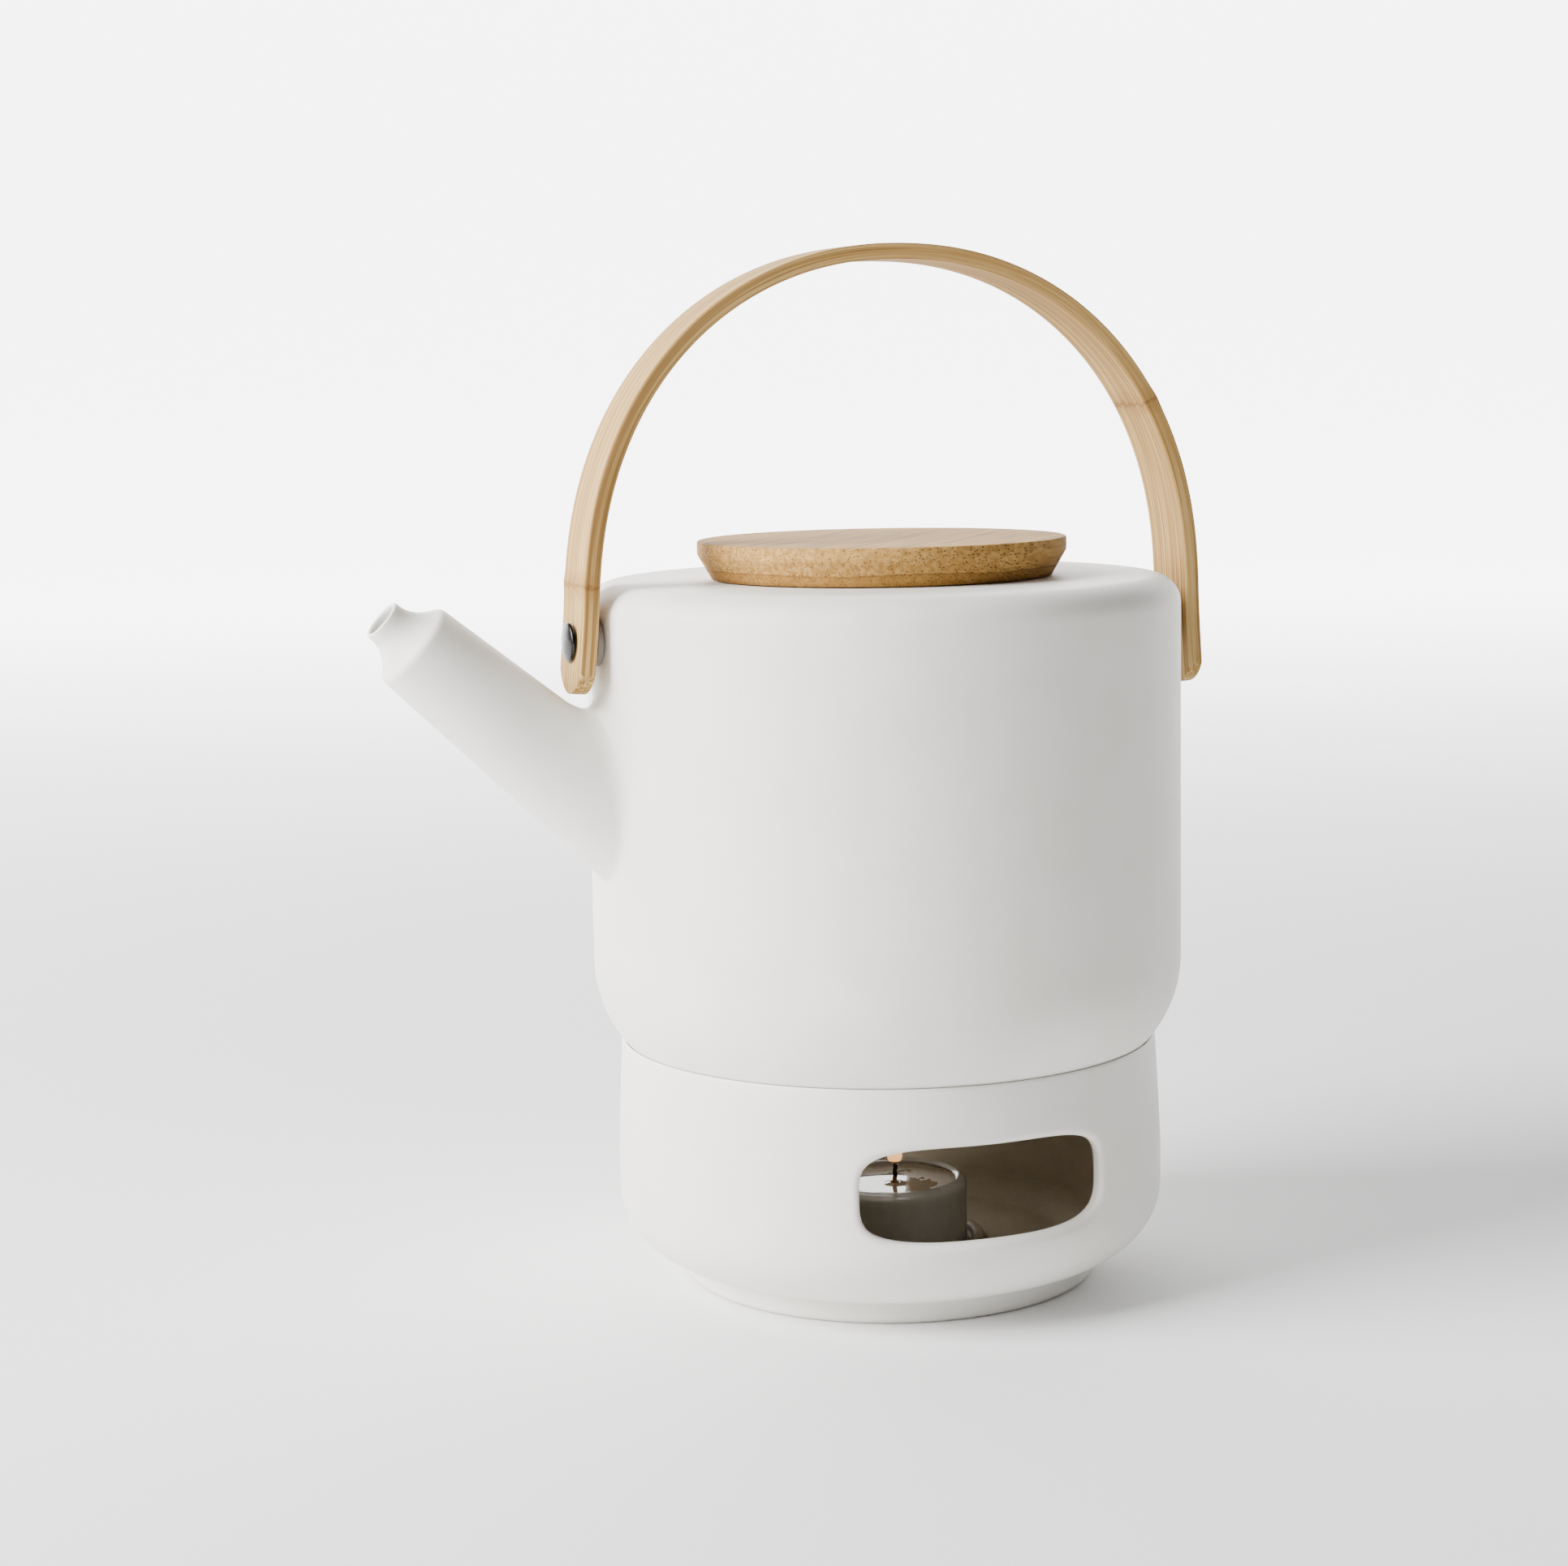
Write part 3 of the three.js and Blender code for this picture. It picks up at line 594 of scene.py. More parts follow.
def handle_bamboo():
    """The strip's fibres follow its bend, by the coordinates stored along it."""
    outline = strap_line()
    travelled = distances(outline[:, :2])

    def vector(paint):
        return paint.node("ShaderNodeAttribute", {"attribute_name": "strip"}).outputs["Vector"]

    def nodes(paint, strip, base):
        """A dark wavy line and a few paler millimetres where each node of the cane was."""
        along = paint.part_of(strip, "X")
        wander = paint.math("MULTIPLY", paint.math("SUBTRACT", paint.noise(strip, 0.5, 3), 0.5), 4.5)
        for side, height in NODE_HEIGHTS:
            here = np.where(side * outline[:, 0] > 0, np.abs(outline[:, 1] - height), np.inf).argmin()
            away = paint.math("ADD", paint.math("SUBTRACT", along, float(travelled[here])), wander)
            away = paint.math("ABSOLUTE", away)
            base = paint.mix(paint.ramp(away, 0.5, 5.0, 0.4, 0), base, srgb(150, 108, 58))
            base = paint.mix(paint.ramp(away, 0.1, 0.7, 0.45, 0), base, srgb(98, 64, 28))
        return base

    return bamboo(
        "handle_bamboo", vector, srgb(206, 172, 112), srgb(170, 132, 76), srgb(98, 66, 28),
        0.3, 0.24, 0.6, nodes,
    )


def metal(name, colour, roughness, brushed=0.06):
    """Steel with fine brushed scatter in its roughness."""
    paint = Paint(name)
    place_mm = paint.coordinates((1, 1, 1))
    scratch = paint.noise(place_mm, 3.0, 3)
    paint.shade(Base_Color=colour, Metallic=1.0)
    paint.put(paint.shader.inputs["Roughness"], paint.ramp(scratch, 0.3, 0.7, roughness, roughness + brushed))
    paint.bump(scratch, 0.01, 0.3)
    return paint.material


def silicone():
    paint = Paint("silicone")
    grain = paint.noise(paint.coordinates((1, 1, 1)), 2.0, 3)
    paint.shade(Roughness=0.62)
    # Mid grey, darker than the silicone's own pale colour: painted shade, so the spacers beside the strap
    # read as the shadow between the strap and the pot. The seals share this greyed colour.
    paint.put(paint.shader.inputs["Base Color"], paint.mix(grain, srgb(126, 120, 111), srgb(142, 136, 127)))
    paint.bump(grain, 0.05, 0.4)
    return paint.material


def clear_cup():
    """A thin clear cup: mostly see-through, with a cloudy moulded skin."""
    paint = Paint("clear_cup")
    cloud = paint.noise(paint.coordinates((1, 1, 0.3)), 0.5, 3)
    paint.shade(Roughness=0.14, IOR=1.49, Transmission_Weight=0.4)
    paint.put(paint.shader.inputs["Base Color"], paint.mix(cloud, srgb(214, 210, 203), srgb(230, 226, 219)))
    paint.bump(cloud, 0.08, 0.3)
    return paint.material


def wax():
    """Paraffin, glossy where it is molten on top and cloudy below."""
    paint = Paint("wax")
    place_mm = paint.coordinates((1, 1, 1))
    cloud = paint.noise(place_mm, 0.12, 3)
    height = paint.part_of(place_mm, "Z")
    edge = paint.math("ADD", paint.ramp(paint.noise(place_mm, 0.22, 2), 0.3, 0.7, -3.5, 3.5), 11.0)
    from_axis = paint.node("ShaderNodeVectorMath", {"operation": "LENGTH"})
    paint.put(from_axis.inputs[0], paint.coordinates((1, 1, 0)))
    pool = paint.ramp(paint.math("SUBTRACT", edge, from_axis.outputs["Value"]), -0.3, 0.3)
    molten = paint.math("MULTIPLY", pool, paint.ramp(height, 19.4, 19.9))
    base = paint.mix(cloud, srgb(206, 199, 186), srgb(224, 218, 207))
    base = paint.mix(molten, base, srgb(170, 156, 136))
    paint.shade(Base_Color=base, Subsurface_Weight=0.3, Subsurface_Radius=(0.004, 0.003, 0.002))
    gloss = paint.math("MULTIPLY", molten, 0.38)
    paint.put(paint.shader.inputs["Roughness"], paint.math("SUBTRACT", 0.42, gloss))
    return paint.material


def wick_cotton():
    """Braided cotton, charred black towards its tip."""
    paint = Paint("wick_cotton")
    place_mm = paint.coordinates((1, 1, 1))
    height = paint.part_of(place_mm, "Z")
    fuzz = paint.noise(place_mm, 3.5, 3)
    burnt = paint.ramp(height, 21.5, 22.6)
    paint.shade(Roughness=0.9)
    paint.put(paint.shader.inputs["Base Color"], paint.mix(burnt, srgb(168, 128, 74), srgb(28, 22, 18)))
    paint.bump(fuzz, 0.15, 0.8)
    return paint.material


def flame_glow():
    """Pale orange light, strongest in the middle of the flame."""
    paint = Paint("flame_glow")
    height = paint.part_of(paint.coordinates((1, 1, 1)), "Z")
    glow = paint.mix(paint.ramp(height, 26, 30), srgb(255, 176, 96), srgb(255, 214, 150))
    paint.shade(Base_Color=srgb(255, 205, 150), Emission_Color=glow, Emission_Strength=1.6, Roughness=0.6)
    return paint.material


def floor_paper():
    """Pale paper that glows softly where it curves up behind the object."""
    paint = Paint("floor_paper")
    place = paint.node("ShaderNodeTexCoord").outputs["Object"]
    away = paint.node("ShaderNodeVectorMath", {"operation": "DOT_PRODUCT"})
    paint.put(away.inputs[0], place)
    away.inputs[1].default_value = (math.sin(CAMERA_HEADING), math.cos(CAMERA_HEADING), 0)
    glow = paint.ramp(away.outputs["Value"], 0.15, 2.4, 0.0, 5.0)
    paint.shade(Base_Color=srgb(246, 246, 246), Roughness=0.9, Emission_Color=(1.0, 1.0, 1.0, 1.0))
    paint.put(paint.shader.inputs["Emission Strength"], glow)
    return paint.material


# ------------------------------------------------------------------ pot

def pot_profile():
    """The pot's outline, with the first rows of the spout's patch on its outside and inside."""
    corner = (POT_RADIUS - POT_CORNER, POT_BOTTOM + POT_CORNER)
    shoulder = (POT_RADIUS - POT_SHOULDER, POT_TOP - POT_SHOULDER)
    inner = POT_RADIUS - POT_WALL
    roof = POT_TOP - POT_WALL
    ledge_bottom = LEDGE_TOP - LEDGE_THICKNESS
    patch_rows = np.linspace(SPOUT_PATCH_LOW, SPOUT_PATCH_HIGH, SPOUT_PATCH_ROWS + 1)
    outside = line((0, POT_BOTTOM), (corner[0], POT_BOTTOM))
    outside += arc(corner, POT_CORNER, -90, 0, 26)[:-1]
    outside += line((POT_RADIUS, corner[1]), (POT_RADIUS, SPOUT_PATCH_LOW))
    outer_row = len(outside)
    outside += [np.array([POT_RADIUS, z]) for z in patch_rows]
    outside += line((POT_RADIUS, SPOUT_PATCH_HIGH + 2), (POT_RADIUS, shoulder[1]))
    outside += arc(shoulder, POT_SHOULDER, 0, 90, 16)[:-1]
    outside += line((shoulder[0], POT_TOP), (MOUTH_RADIUS + MOUTH_EDGE, POT_TOP))
    mouth = [
        (MOUTH_RADIUS + MOUTH_EDGE, POT_TOP), (MOUTH_RADIUS, POT_TOP - MOUTH_EDGE), (MOUTH_RADIUS, LEDGE_TOP),
        (LEDGE_RADIUS, LEDGE_TOP), (LEDGE_RADIUS, ledge_bottom), (COLLAR_RADIUS, ledge_bottom),
        (COLLAR_RADIUS + 2, roof), (shoulder[0], roof),
    ]
    inside = softened(mouth, 0.5)[:-1]
    inside += arc(shoulder, POT_SHOULDER - POT_WALL, 90, 0, 5)[:-1]
    inside += line((inner, shoulder[1]), (inner, SPOUT_PATCH_HIGH))
    inner_row = len(outside) + len(inside)
    inside += [np.array([inner, z]) for z in patch_rows[::-1]]
    inside += line((inner, SPOUT_PATCH_LOW - 2), (inner, corner[1]))
    inside += arc(corner, POT_CORNER - POT_WALL, 0, -90, 20)[:-1]
    inside += line((corner[0], POT_BOTTOM + POT_WALL), (0, POT_BOTTOM + POT_WALL))
    return outside + inside + [np.array([0, POT_BOTTOM + POT_WALL])], outer_row, inner_row


def on_spout(distance, radius, phi):
    """Points at a distance along the spout's axis, a radius from it and an angle phi round it."""
    distance, radius = np.broadcast_arrays(np.asarray(distance, float), np.asarray(radius, float))
    ray = np.cos(phi)[:, None] * SPOUT_SIDE + np.sin(phi)[:, None] * SPOUT_UP
    distance = np.broadcast_to(distance, phi.shape)
    radius = np.broadcast_to(radius, phi.shape)
    return SPOUT_ROOT + distance[:, None] * SPOUT_ALONG + radius[:, None] * ray


SPOUT_TAPER = (SPOUT_ROOT_RADIUS - SPOUT_RING_RADIUS) / SPOUT_RING_AT


def spout_radius(distance):
    return SPOUT_ROOT_RADIUS - SPOUT_TAPER * distance


def bore_radius(distance):
    return spout_radius(distance) - SPOUT_WALL


def meets_wall(radius_at, wall, phi):
    """How far along the spout each of its straight lines comes out of a round wall."""
    def outside(distance):
        p = on_spout(distance, radius_at(distance), phi)
        return np.hypot(p[:, 0], p[:, 1]) > wall
    return halved(outside, -25.0, 60.0, phi.shape)


def rolled_join(points):
    """Moves points onto the pot's wall and the spout, joined by a fillet of one rolling radius."""
    lean = math.atan(SPOUT_TAPER)
    points = points.copy()
    for _ in range(10):
        radial = np.hypot(points[:, 0], points[:, 1])
        wall = radial - POT_RADIUS
        wall_normal = np.stack([points[:, 0] / radial, points[:, 1] / radial, 0 * radial], axis=-1)
        offset = points - SPOUT_ROOT
        distance = offset @ SPOUT_ALONG
        across = offset - distance[:, None] * SPOUT_ALONG
        reach = np.linalg.norm(across, axis=1)
        cone = (reach - spout_radius(distance)) * math.cos(lean)
        cone_normal = across / reach[:, None] * math.cos(lean) + SPOUT_ALONG * math.sin(lean)
        alike = np.clip((wall_normal * cone_normal).sum(axis=1), -1, 1)
        above = 0.5 + 0.5 * (across / reach[:, None]) @ SPOUT_UP
        swell = (SPOUT_FILLET_ABOVE - SPOUT_FILLET_BELOW) * np.sqrt(np.clip(above, 0, 1))
        fillet = SPOUT_FILLET_BELOW + swell
        width = np.maximum(4 * fillet * (1 - np.sqrt((1 + alike) / 2)), 0.3)
        share = np.clip(0.5 + 0.5 * (cone - wall) / width, 0, 1)
        gap = cone * (1 - share) + wall * share - width * share * (1 - share)
        slope = wall_normal * share[:, None] + cone_normal * (1 - share[:, None])
        points -= slope * (gap / (slope ** 2).sum(axis=1))[:, None]
    return points


def on_wall(start, end, share, wall):
    """Points part of the way between two rims, on a round wall."""
    angle_start, angle_end = (np.unwrap(np.arctan2(p[:, 1], p[:, 0]) % (2 * np.pi)) for p in (start, end))
    angle = angle_start + (angle_end - angle_start) * share
    height = start[:, 2] + (end[:, 2] - start[:, 2]) * share
    return np.stack([wall * np.cos(angle), wall * np.sin(angle), height], axis=-1)


def spout_tip():
    """(distance, radius) pairs from the ring over the waisted tip and the lip, then back inside."""
    ring, end = SPOUT_RING_AT, SPOUT_LENGTH
    edge = bend(
        (ring - 1.1, SPOUT_RING_RADIUS + 0.05), (ring + 0.25, SPOUT_RING_RADIUS), (ring + 1.0, 9.6), 6,
    )
    neck_start, neck_radius = edge[-1]
    shares = np.linspace(0, 1, 13)[1:]
    neck = [
        (neck_start + (end - 0.5 - neck_start) * a,
         SPOUT_LIP_RADIUS - 0.1 + (neck_radius - SPOUT_LIP_RADIUS + 0.1) * (1 - a) ** 2.4)
        for a in shares
    ]
    lip = bend(neck[-1], (end - 0.05, SPOUT_LIP_RADIUS - 0.15), (end, SPOUT_LIP_RADIUS - 0.6), 4)[1:]
    lip += bend(lip[-1], (end, SPOUT_HOLE_RADIUS), (end - 0.8, SPOUT_HOLE_RADIUS), 4)[1:]
    inside = line((end - 0.8, SPOUT_HOLE_RADIUS), (ring + 2, SPOUT_HOLE_RADIUS))[1:]
    inside += bend(
        (ring + 2, SPOUT_HOLE_RADIUS), (ring - 1, SPOUT_HOLE_RADIUS), (ring - 4, bore_radius(ring - 4)), 6,
    )
    return [tuple(p) for p in edge + neck + lip + inside]


def spout_loops(outer_rim, inner_rim):
    """Rings from the pot's outer wall up the spout, round its lip and down its bore to the inner wall."""
    crossing = SPOUT_ROOT[2] + (POT_RADIUS + SPOUT_ROOT[0]) * math.tan(SPOUT_RISE)
    phi = np.arctan2((outer_rim[:, 2] - crossing) * math.cos(SPOUT_RISE), outer_rim[:, 1])
    root = meets_wall(spout_radius, POT_RADIUS, phi)
    join = on_spout(root, spout_radius(root), phi)
    loops = [rolled_join(on_wall(outer_rim, join, t, POT_RADIUS)) for t in np.linspace(0, 1, 13)[1:]]
    tip = spout_tip()
    start = tip[0][0]
    for t in np.linspace(0, 1, 41)[1:-1]:
        distance = root + (start - root) * t ** 1.35
        loops.append(rolled_join(on_spout(distance, spout_radius(distance), phi)))
    loops += [on_spout(distance, radius, phi) for distance, radius in tip]
    inner_wall = POT_RADIUS - POT_WALL
    mouth = meets_wall(bore_radius, inner_wall, phi)
    deepest = tip[-1][0]
    for t in np.linspace(0, 1, 25)[1:]:
        distance = deepest + (mouth - deepest) * t
        loops.append(on_spout(distance, bore_radius(distance), phi))
    last = loops[-1]
    loops += [on_wall(last, inner_rim, t, inner_wall) for t in np.linspace(0, 1, 7)[1:-1]]
    return loops


def add_pot(glaze):
    profile, outer_row, inner_row = pot_profile()
    shell = Shell(profile, POT_COLUMNS)
    first_column = POT_COLUMNS // 2 - SPOUT_PATCH_COLUMNS
    shell.add_port(
        outer_row, inner_row, SPOUT_PATCH_ROWS, first_column, 2 * SPOUT_PATCH_COLUMNS, spout_loops,
    )
    points, faces = shell.build()
    pot = finish_mesh(
        "pot", points, faces, "pot", ["pot_base", "pot_body", "pot_spout"], "stoneware", glaze, crease=40,
    )
    for side in (-1, 1):
        ends = sorted((side * (POT_RADIUS - 12), side * (POT_RADIUS + 4)))
        bore(pot, SCREW_HOLE_RADIUS, *ends)


# ------------------------------------------------------------------ warmer

def seat_height(radius):
    """The seat follows the pot's rounded bottom corner."""
    reach = radius - (POT_RADIUS - POT_CORNER)
    return POT_BOTTOM + POT_CORNER - math.sqrt((POT_CORNER + SEAT_GAP) ** 2 - reach ** 2)


def warmer_outside():
    corner = (WARMER_RADIUS - WARMER_CORNER, FOOT_HEIGHT + WARMER_CORNER)
    first = arc(corner, WARMER_CORNER, -80, -80, 1)[0]
    foot = line((0, 0), (FOOT_RADIUS - FOOT_EDGE, 0))
    foot += arc((FOOT_RADIUS - FOOT_EDGE, FOOT_EDGE), FOOT_EDGE, -90, 0, 8)
    foot += bend((FOOT_RADIUS, FOOT_HEIGHT - 1.6), (FOOT_RADIUS, FOOT_HEIGHT + 0.05), first, 8)[:-1]
    wall = arc(corner, WARMER_CORNER, -80, 0, 22)
    wall += line((WARMER_RADIUS, WARMER_STRAIGHT_TOP - 8), (WARMER_RADIUS, WARMER_STRAIGHT_TOP))
    wall += line((WARMER_RADIUS, WARMER_STRAIGHT_TOP), (WARMER_RADIUS - 0.5, 45))
    wall += line((WARMER_RADIUS - 0.5, 45), (WARMER_RIM_RADIUS + 0.1, WARMER_RIM_TOP - 1))
    return foot, wall


def warmer_inside():
    """From the seat's inner edge down to the floor's outer edge."""
    corner = (WARMER_RADIUS - WARMER_CORNER, FOOT_HEIGHT + WARMER_CORNER)
    seat_inner = WARMER_RIM_RADIUS - WARMER_WALL
    top = (seat_inner - 0.1, seat_height(seat_inner) - 0.8)
    wall = line(top, (WARMER_RADIUS - WARMER_WALL, WARMER_STRAIGHT_TOP))
    wall += line((WARMER_RADIUS - WARMER_WALL, WARMER_STRAIGHT_TOP), (WARMER_RADIUS - WARMER_WALL, corner[1]))
    wall += arc(corner, WARMER_CORNER - WARMER_WALL, 0, -85, 14)
    return wall


def radius_at(outline):
    """A function that gives an outline's radius at a height."""
    outline = sorted((p[1], p[0]) for p in outline)
    heights, radii = zip(*outline)
    return lambda z: np.interp(z, heights, radii)


def between(outline, low, high):
    """The part of an outline outside the span from low to high, as the points below and above it."""
    below = [p for p in outline if p[1] < low - 0.4]
    above = [p for p in outline if p[1] > high + 0.4]
    return below, above


def warmer_profile():
    foot, wall = warmer_outside()
    inner_wall = warmer_inside()
    outer_radius, inner_radius = radius_at(wall), radius_at(inner_wall)
    rows = np.linspace(WINDOW_PATCH_LOW, WINDOW_PATCH_HIGH, WINDOW_PATCH_ROWS + 1)
    below, above = between(wall, WINDOW_PATCH_LOW, WINDOW_PATCH_HIGH)
    outside = foot + below
    outer_row = len(outside)
    outside += [np.array([outer_radius(z), z]) for z in rows] + above
    seat_outer = WARMER_RIM_RADIUS - 1.3
    seat_inner = WARMER_RIM_RADIUS - WARMER_WALL
    rim = bend(
        (WARMER_RIM_RADIUS + 0.1, WARMER_RIM_TOP - 0.7), (WARMER_RIM_RADIUS, WARMER_RIM_TOP),
        (WARMER_RIM_RADIUS - 0.5, WARMER_RIM_TOP), 5,
    )
    seat = [np.array([r, seat_height(r) - SEAT_GROOVE]) for r in np.linspace(seat_outer, seat_inner + 0.2, 8)]
    below, above = between(inner_wall, WINDOW_PATCH_LOW, WINDOW_PATCH_HIGH)
    inside = rim + seat + above
    inner_row = len(outside) + len(inside)
    inside += [np.array([inner_radius(z), z]) for z in rows[::-1]] + below
    ring_top = WARMER_FLOOR_TOP + CANDLE_RING_HEIGHT
    floor = [
        tuple(inner_wall[-1]), (WARMER_FLOOR_RADIUS, WARMER_FLOOR_TOP),
        (CANDLE_RING_OUTER + 0.3, WARMER_FLOOR_TOP), (CANDLE_RING_OUTER - 0.4, ring_top),
        (CANDLE_RING_INNER + 0.4, ring_top),
        (CANDLE_RING_INNER, WARMER_FLOOR_TOP), (0, WARMER_FLOOR_TOP),
    ]
    inside += softened(floor, 0.9, steps=4)[1:]
    return outside + inside, outer_row, inner_row, outer_radius, inner_radius


def window_outline(angle, grow):
    """(x, z) on the window's outline, grown outwards, along rays from its middle."""
    straight = WINDOW_HALF_WIDTH - WINDOW_END_WIDTH
    half_height = (WINDOW_TOP - WINDOW_BOTTOM) / 2
    cos, sin = np.cos(angle), np.sin(angle)

    def outside(reach):
        across = np.maximum(np.abs(reach * cos) - straight, 0) / (WINDOW_END_WIDTH + grow)
        up = np.abs(reach * sin) / (half_height + grow)
        return across ** WINDOW_POWER + up ** WINDOW_POWER > 1

    reach = halved(outside, 0.0, 2.0 * WINDOW_HALF_WIDTH, angle.shape)
    return WINDOW_SHIFT + reach * cos, (WINDOW_TOP + WINDOW_BOTTOM) / 2 + reach * sin


def window_loops(face, outer_radius, inner_radius):
    """A function that makes a window's rings. face is -1 for the window towards -Y and 1 for +Y."""
    middle = (WINDOW_TOP + WINDOW_BOTTOM) / 2

    def depth_of(x, z, radius_of):
        return np.sqrt(radius_of(z) ** 2 - x ** 2)

    def make(outer_rim, inner_rim):
        angle = np.arctan2(outer_rim[:, 2] - middle, outer_rim[:, 0] - WINDOW_SHIFT)

        def ring(x, z, y):
            return np.stack([x, face * y, z], axis=-1)

        def towards(rim, grow, radius_of, shares):
            x_end, z_end = window_outline(angle, grow)
            rings = []
            for t in shares:
                x = rim[:, 0] + (x_end - rim[:, 0]) * t
                z = rim[:, 2] + (z_end - rim[:, 2]) * t
                rings.append(ring(x, z, depth_of(x, z, radius_of)))
            return rings

        def edge(size, radius_of, sign, turns):
            rings = []
            for turn in turns:
                x, z = window_outline(angle, size * (1 - math.sin(turn)))
                y = depth_of(x, z, radius_of) - sign * size * (1 - math.cos(turn))
                rings.append(ring(x, z, y))
            return rings

        quarter = np.linspace(0, math.pi / 2, 8)
        loops = towards(outer_rim, WINDOW_EDGE, outer_radius, np.linspace(0, 1, 7)[1:])
        loops += edge(WINDOW_EDGE, outer_radius, 1, quarter[1:])
        tunnel_end = edge(WINDOW_INNER_EDGE, inner_radius, -1, [math.pi / 2])[0]
        tunnel_start = loops[-1]
        loops += [tunnel_start + (tunnel_end - tunnel_start) * t for t in (0.33, 0.67)]
        loops += edge(WINDOW_INNER_EDGE, inner_radius, -1, quarter[::-1])
        loops += towards(inner_rim, WINDOW_INNER_EDGE, inner_radius, np.linspace(1, 0, 7)[1:-1])
        return loops

    return make


def add_warmer(glaze):
    profile, outer_row, inner_row, outer_radius, inner_radius = warmer_profile()
    shell = Shell(profile, WARMER_COLUMNS)
    for face in (-1, 1):
        centre = WARMER_COLUMNS * (2 - face) // 4
        shell.add_port(
            outer_row, inner_row, WINDOW_PATCH_ROWS, centre - WINDOW_PATCH_COLUMNS, 2 * WINDOW_PATCH_COLUMNS,
            window_loops(face, outer_radius, inner_radius),
        )
    points, faces = shell.build()
    finish_mesh("warmer", points, faces, "warmer", ["warmer_body"], "stoneware", glaze, crease=40)


# ------------------------------------------------------------------ handle

NODE_HEIGHTS = ((-1, 174.5), (1, 214.0))
NODE_SWELL = 0.22
NODE_LENGTH = 1.8
STRAP_SIDE_POINTS = 10


def strap_line():
    """The strip's inner line from the left leg's end to the right leg's, as (x, z, half width)."""
    heights = np.arange(138, ARCH_BASE, 1.0)
    leg = np.stack([np.full(len(heights), ARCH_HALF_SPAN), heights], axis=-1)
    angles = np.linspace(0, math.pi / 2, 120)[:-1]
    power = 2 / ARCH_POWER
    arch = np.stack([
        ARCH_HALF_SPAN * np.cos(angles) ** power, ARCH_BASE + ARCH_RISE * np.sin(angles) ** power,
    ], axis=-1)
    half = np.concatenate([leg, arch])
    half[:, 0] += LEG_SPLAY * SPLAY_BLEND * np.log1p(np.exp((ARCH_BASE - half[:, 1]) / SPLAY_BLEND))
    upright = np.concatenate([half * [-1, 1], [[0, ARCH_BASE + ARCH_RISE]], half[::-1]]) - [0, ARCH_BASE]
    cos, sin = math.cos(HANDLE_LEAN), math.sin(HANDLE_LEAN)
    whole = upright @ np.array([[cos, -sin], [sin, cos]]) + [HANDLE_SHIFT, ARCH_BASE]

    radius = ((STRAP_WIDTH / 2) ** 2 + LEG_END_ROUND ** 2) / (2 * LEG_END_ROUND)
    turns = np.linspace(0.05, math.asin(STRAP_WIDTH / 2 / radius), 12)
    tips = []
    for side, end in zip((-1, 1), LEG_ENDS):
        outer = whole[(side * whole[:, 0] > 0) & (whole[:, 1] < ARCH_BASE + 9)]
        outer = outer[np.argsort(outer[:, 1])]
        z = end + radius * (1 - np.cos(turns))
        x = np.interp(z, outer[:, 1], outer[:, 0])
        tips.append(np.stack([x, z, radius * np.sin(turns)], axis=-1))
    lowest = np.where(whole[:, 0] < 0, *LEG_ENDS) + LEG_END_ROUND + 0.5
    straight = whole[whole[:, 1] > lowest]
    full = np.full(len(straight), STRAP_WIDTH / 2)
    return np.concatenate([tips[0], np.column_stack([straight, full]), tips[1][::-1]])


def strap_section(half_width, swell):
    """(across, depth) points round the strip's section: depth 0 is its inner face."""
    edge = min(STRAP_EDGE, half_width * 0.9)
    depth = STRAP_THICKNESS + swell
    corners = [
        ((half_width - edge, edge), -90, 0), ((half_width - edge, depth - edge), 0, 90),
        ((-half_width + edge, depth - edge), 90, 180), ((-half_width + edge, edge), 180, 270),
    ]
    section = []
    for i, (centre, start, end) in enumerate(corners):
        section += arc(centre, edge, start, end, 4)
        next_centre, next_start, _ = corners[(i + 1) % 4]
        next_point = arc(next_centre, edge, next_start, next_start, 1)[0]
        sides = STRAP_SIDE_POINTS if i % 2 else 4
        section += [section[-1] + (next_point - section[-1]) * k / sides for k in range(1, sides)][:sides - 1]
    return np.array(section)


def add_handle(wood):
    outline = strap_line()
    inner = outline[:, :2]
    steps = np.gradient(inner, axis=0)
    tangent = steps / np.linalg.norm(steps, axis=1)[:, None]
    outward = np.stack([-tangent[:, 1], tangent[:, 0]], axis=-1)
    travelled = distances(inner)
    points, strip = [], []
    for (x, z, half_width), out, run in zip(outline, outward, travelled):
        swell = sum(
            NODE_SWELL * math.exp(-((z - height) / NODE_LENGTH) ** 2)
            for side, height in NODE_HEIGHTS if side * x > 0
        )
        section = strap_section(half_width, swell)
        for across, depth in section:
            points.append((x + out[0] * depth, across, z + out[1] * depth))
            strip.append((run, across, depth))
    count = len(section)
    faces = [tuple(reversed(face)) for face in grid_faces(len(inner), count)]
    faces.append(tuple(range(count)))
    faces.append(tuple(range(len(points) - 1, len(points) - count - 1, -1)))
    mesh = bpy.data.meshes.new("handle")
    mesh.from_pydata((np.array(points) * MM).tolist(), [], faces)
    attribute = mesh.attributes.new("strip", "FLOAT_VECTOR", "POINT")
    attribute.data.foreach_set("vector", np.array(strip, np.float32).ravel())
    work = bmesh.new()
    work.from_mesh(mesh)
    bmesh.ops.recalc_face_normals(work, faces=work.faces)
    work.to_mesh(mesh)
    work.free()
    mesh.shade_smooth()
    mesh.set_sharp_from_angle(angle=math.radians(40))
    handle = place(bpy.data.objects.new("handle", mesh), "handle", ["handle_bail"], "bamboo_handle", wood)
    reach = ARCH_HALF_SPAN + 12
    bore(handle, STRAP_HOLE_RADIUS, -reach, reach)


# ------------------------------------------------------------------ pivots

